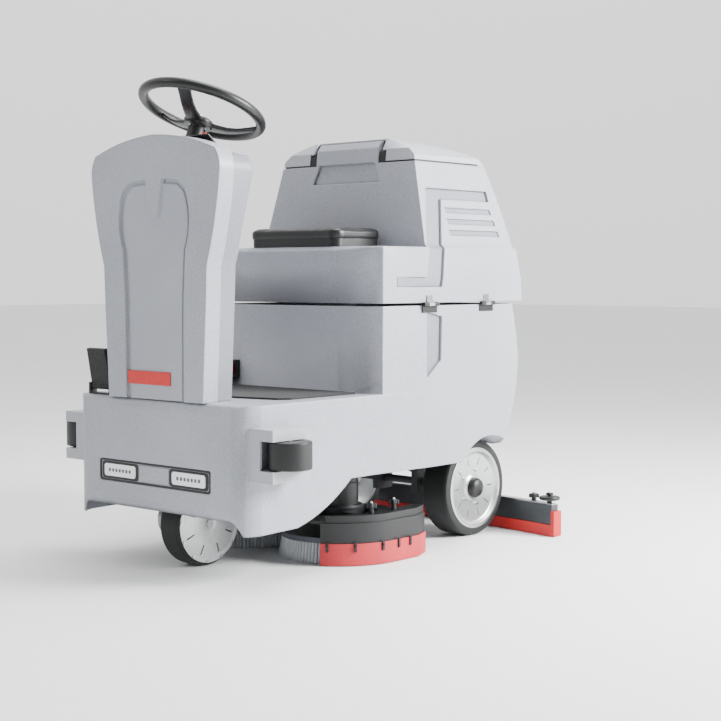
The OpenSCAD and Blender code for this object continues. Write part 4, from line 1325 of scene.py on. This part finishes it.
@dataclass
class Fittings:
    """Smaller pieces that keep the CAD's shape and get rounded edges, and the panel's parts."""

    panel: Point3 = (0.0, -564.0, 1168.0)
    panel_tilt: float = -39.2
    rockers: tuple[float, ...] = (-58.0, -36.0, -14.0)
    gauge: Point3 = (42.0, 34.0, 0.0)
    body_pieces: tuple[tuple[str, Finish, str, str, float], ...] = (
        ("chassis_frame", FRAME_STEEL, "base", "frame", 1.0),
        ("floor_mat", MAT, "base", "mat", 1.5),
        ("control_panel", BLACK_PLASTIC, "base", "black_plastic", 1.0),
        ("steering_jacket", BLACK_METAL, "base", "black_metal", 0.6),
        ("roller_brackets", BRACKET, "base", "bracket", 3.0),
        ("batteries", BLACK_PLASTIC, "base", "black_plastic", 3.0),
        ("connector_socket", BLACK_PLASTIC, "base", "black_plastic", 1.0),
        ("solution_pump", BLACK_PLASTIC, "base", "black_plastic", 1.5),
        ("hinge_leaves_body", BLACK_METAL, "base", "bright", 0.5),
        ("hinge_leaves_tank", ZINC, "tank", "bright", 0.5),
        ("suction_hose", BLACK_PLASTIC, "squeegee", "black_plastic", 1.0),
        ("pedal_bracket", BLACK_METAL, "base", "black_metal", 0.8),
        ("steering_shaft", ZINC, "steering", "bright", 0.5),
        ("front_fork", CAST, "fork", "cast", 1.5),
        ("drive_motor", CAST, "fork", "cast", 3.0),
        ("accelerator_pedal", MAT, "pedal", "mat", 1.0),
        ("connector_plug", RED_PLASTIC, "plug", "red_plastic", 2.0),
        ("ignition_key", ZINC, "key", "bright", 0.5),
        ("stop_button", RED_PLASTIC, "stop", "red_plastic", 1.2),
        ("guide_roller_left", BLACK_PLASTIC, "roller_left", "black_plastic", 4.0),
        ("guide_roller_right", BLACK_PLASTIC, "roller_right", "black_plastic", 4.0),
        ("vacuum_motor", BLACK_PLASTIC, "tank", "black_plastic", 2.0))

    def switches(self) -> None:
        """Sets three rocker switches and a gauge with its needle into the control panel."""
        place = (Matrix.Translation(self.panel)
                 @ Matrix.Rotation(math.radians(self.panel_tilt), 4, "X"))
        rockers, dark = Solid(), Solid()
        for x in self.rockers:
            dark.with_(Solid.block((x - 9, 20, 3.5), (x + 9, 46, 5.4)))
            rockers.with_(Solid.block((x - 6.5, 22.5, 4.5), (x + 6.5, 43.5, 8)).rounded(1.2, 2))
        dark.with_(Solid.turned([(0, 3.5), (21, 3.5), (21, 6.5), (19, 7.5), (17, 7.5),
                                 (17, 6), (0, 6)], self.gauge, steps=48))
        face = Solid.turned([(0, 5.5), (16.8, 5.5), (16.8, 6.5), (0, 6.5)], self.gauge,
                            steps=48)
        rockers.with_(Solid.block((41.2, 33, 6.2), (42.8, 46, 7)))
        publish(dark.moved(place), "panel_frames", BLACK_METAL, "base", "black_plastic")
        publish(rockers.moved(place), "panel_rockers", RED_PLASTIC, "base", "red_plastic")
        publish(face.moved(place), "gauge_face", LENS, "base", "lens")

    def build(self) -> None:
        """Sets the panel's switches, then rounds or dresses each piece."""
        self.switches()
        for node, finish, body, slot, width in self.body_pieces:
            soften(node, finish, body, slot, width)
        dress("steering_chain", ZINC)
        dress("steering_lower_shaft", ZINC)


def wheels() -> list[Wheel]:
    """Returns the three wheels."""
    rear = [Wheel(f"rear_wheel_{name}", (side * 248, 410, 147), 147, 123, 96, side,
                  f"rear_wheel_{name}", (f"rear_tyre_{name}", f"rear_rim_{name}",
                                         f"hub_cap_{name}"))
            for side, name in reversed(SIDES)]
    front = Wheel("drive_wheel", (0, -457, 117), 117, 97, 76, 1, "drive_wheel",
                  ("front_tyre", "front_rim"), slots=8)
    return [*rear, front]


@dataclass
class Studio:
    """The floor, the lights and the camera, in metres."""

    floor_half: float = 30.0
    sky_way: Point3 = (-0.45, 0.50, 0.74)
    sky_from: float = -0.35
    sky_to: float = 0.85
    sky_dim: float = 0.30
    sky_bright: float = 1.7
    lamps: tuple[tuple[str, Point3, Point3, float, float], ...] = (
        ("key", (2.9, 1.5, 1.9), (0.3, 0.35, 0.7), 1.5, 420),
        ("front", (-1.6, -4.0, 3.4), (0.0, -0.5, 0.9), 1.6, 25),
        ("top", (0.3, 0.6, 4.2), (0.0, 0.0, 0.6), 2.2, 150))
    lens: float = 74.34
    eye: Point3 = (3.035, -3.220, 0.797)
    eye_turn: Point3 = (86.72, 0.0, 41.49)

    def floor(self) -> None:
        """Lays the floor."""
        half = self.floor_half / MM
        slab = Solid.block((-half, -half, -20), (half, half, 0))
        piece = placed("studio_floor", metres(slab, "studio_floor"))
        coat(piece.data, FLOOR)

    def sky(self) -> None:
        """Lights the air all round, brightest high up behind the machine."""
        world = bpy.data.worlds.new("studio_air")
        bpy.context.scene.world = world
        world.use_nodes = True
        tree = world.node_tree
        air = tree.nodes["Background"]
        air.inputs["Color"].default_value = (1, 1, 1, 1)
        ray = add_node(tree, "ShaderNodeTexCoord").outputs["Generated"]
        behind = add_node(tree, "ShaderNodeVectorMath", {"operation": "DOT_PRODUCT"},
                          {1: self.sky_way}, {0: ray}).outputs["Value"]
        bright = add_node(tree, "ShaderNodeMapRange", values={
            "From Min": self.sky_from, "From Max": self.sky_to, "To Min": self.sky_dim,
            "To Max": self.sky_bright}, links={"Value": behind}).outputs["Result"]
        tree.links.new(bright, air.inputs["Strength"])

    def lamp(self, name: str, place: Point3, target: Point3, size: float, power: float) -> None:
        """Hangs one soft box.

        Args:
            name: The lamp's name.
            place: Where it hangs.
            target: What it points at.
            size: Its side.
            power: Its power in watts.
        """
        data = bpy.data.lights.new(name, "AREA")
        data.size, data.energy = size, power
        lamp = placed(name, data)
        lamp.location = place
        lamp.rotation_euler = (Vector(target) - Vector(place)).to_track_quat("-Z", "Y").to_euler()

    def camera(self) -> None:
        """Stands the camera in front of the machine's left side."""
        data = bpy.data.cameras.new("camera")
        data.lens, data.sensor_width = self.lens, 36
        camera = placed("camera", data)
        camera.location = self.eye
        camera.rotation_euler = [math.radians(a) for a in self.eye_turn]
        bpy.context.scene.camera = camera

    def build(self) -> None:
        """Sets the studio up."""
        self.floor()
        self.sky()
        for lamp in self.lamps:
            self.lamp(*lamp)
        self.camera()


def main() -> None:
    """Builds the machine in order, then the studio."""
    logging.basicConfig(level=logging.INFO, format="%(name)s: %(message)s")
    Bodywork().build()
    Lamps().build()
    Badge().build()
    for wheel in wheels():
        wheel.build()
    SteeringWheel().build()
    BrushDeck().build()
    Squeegee().build()
    Seat().build()
    Fittings().build()
    Studio().build()


if __name__ == "__main__":
    main()
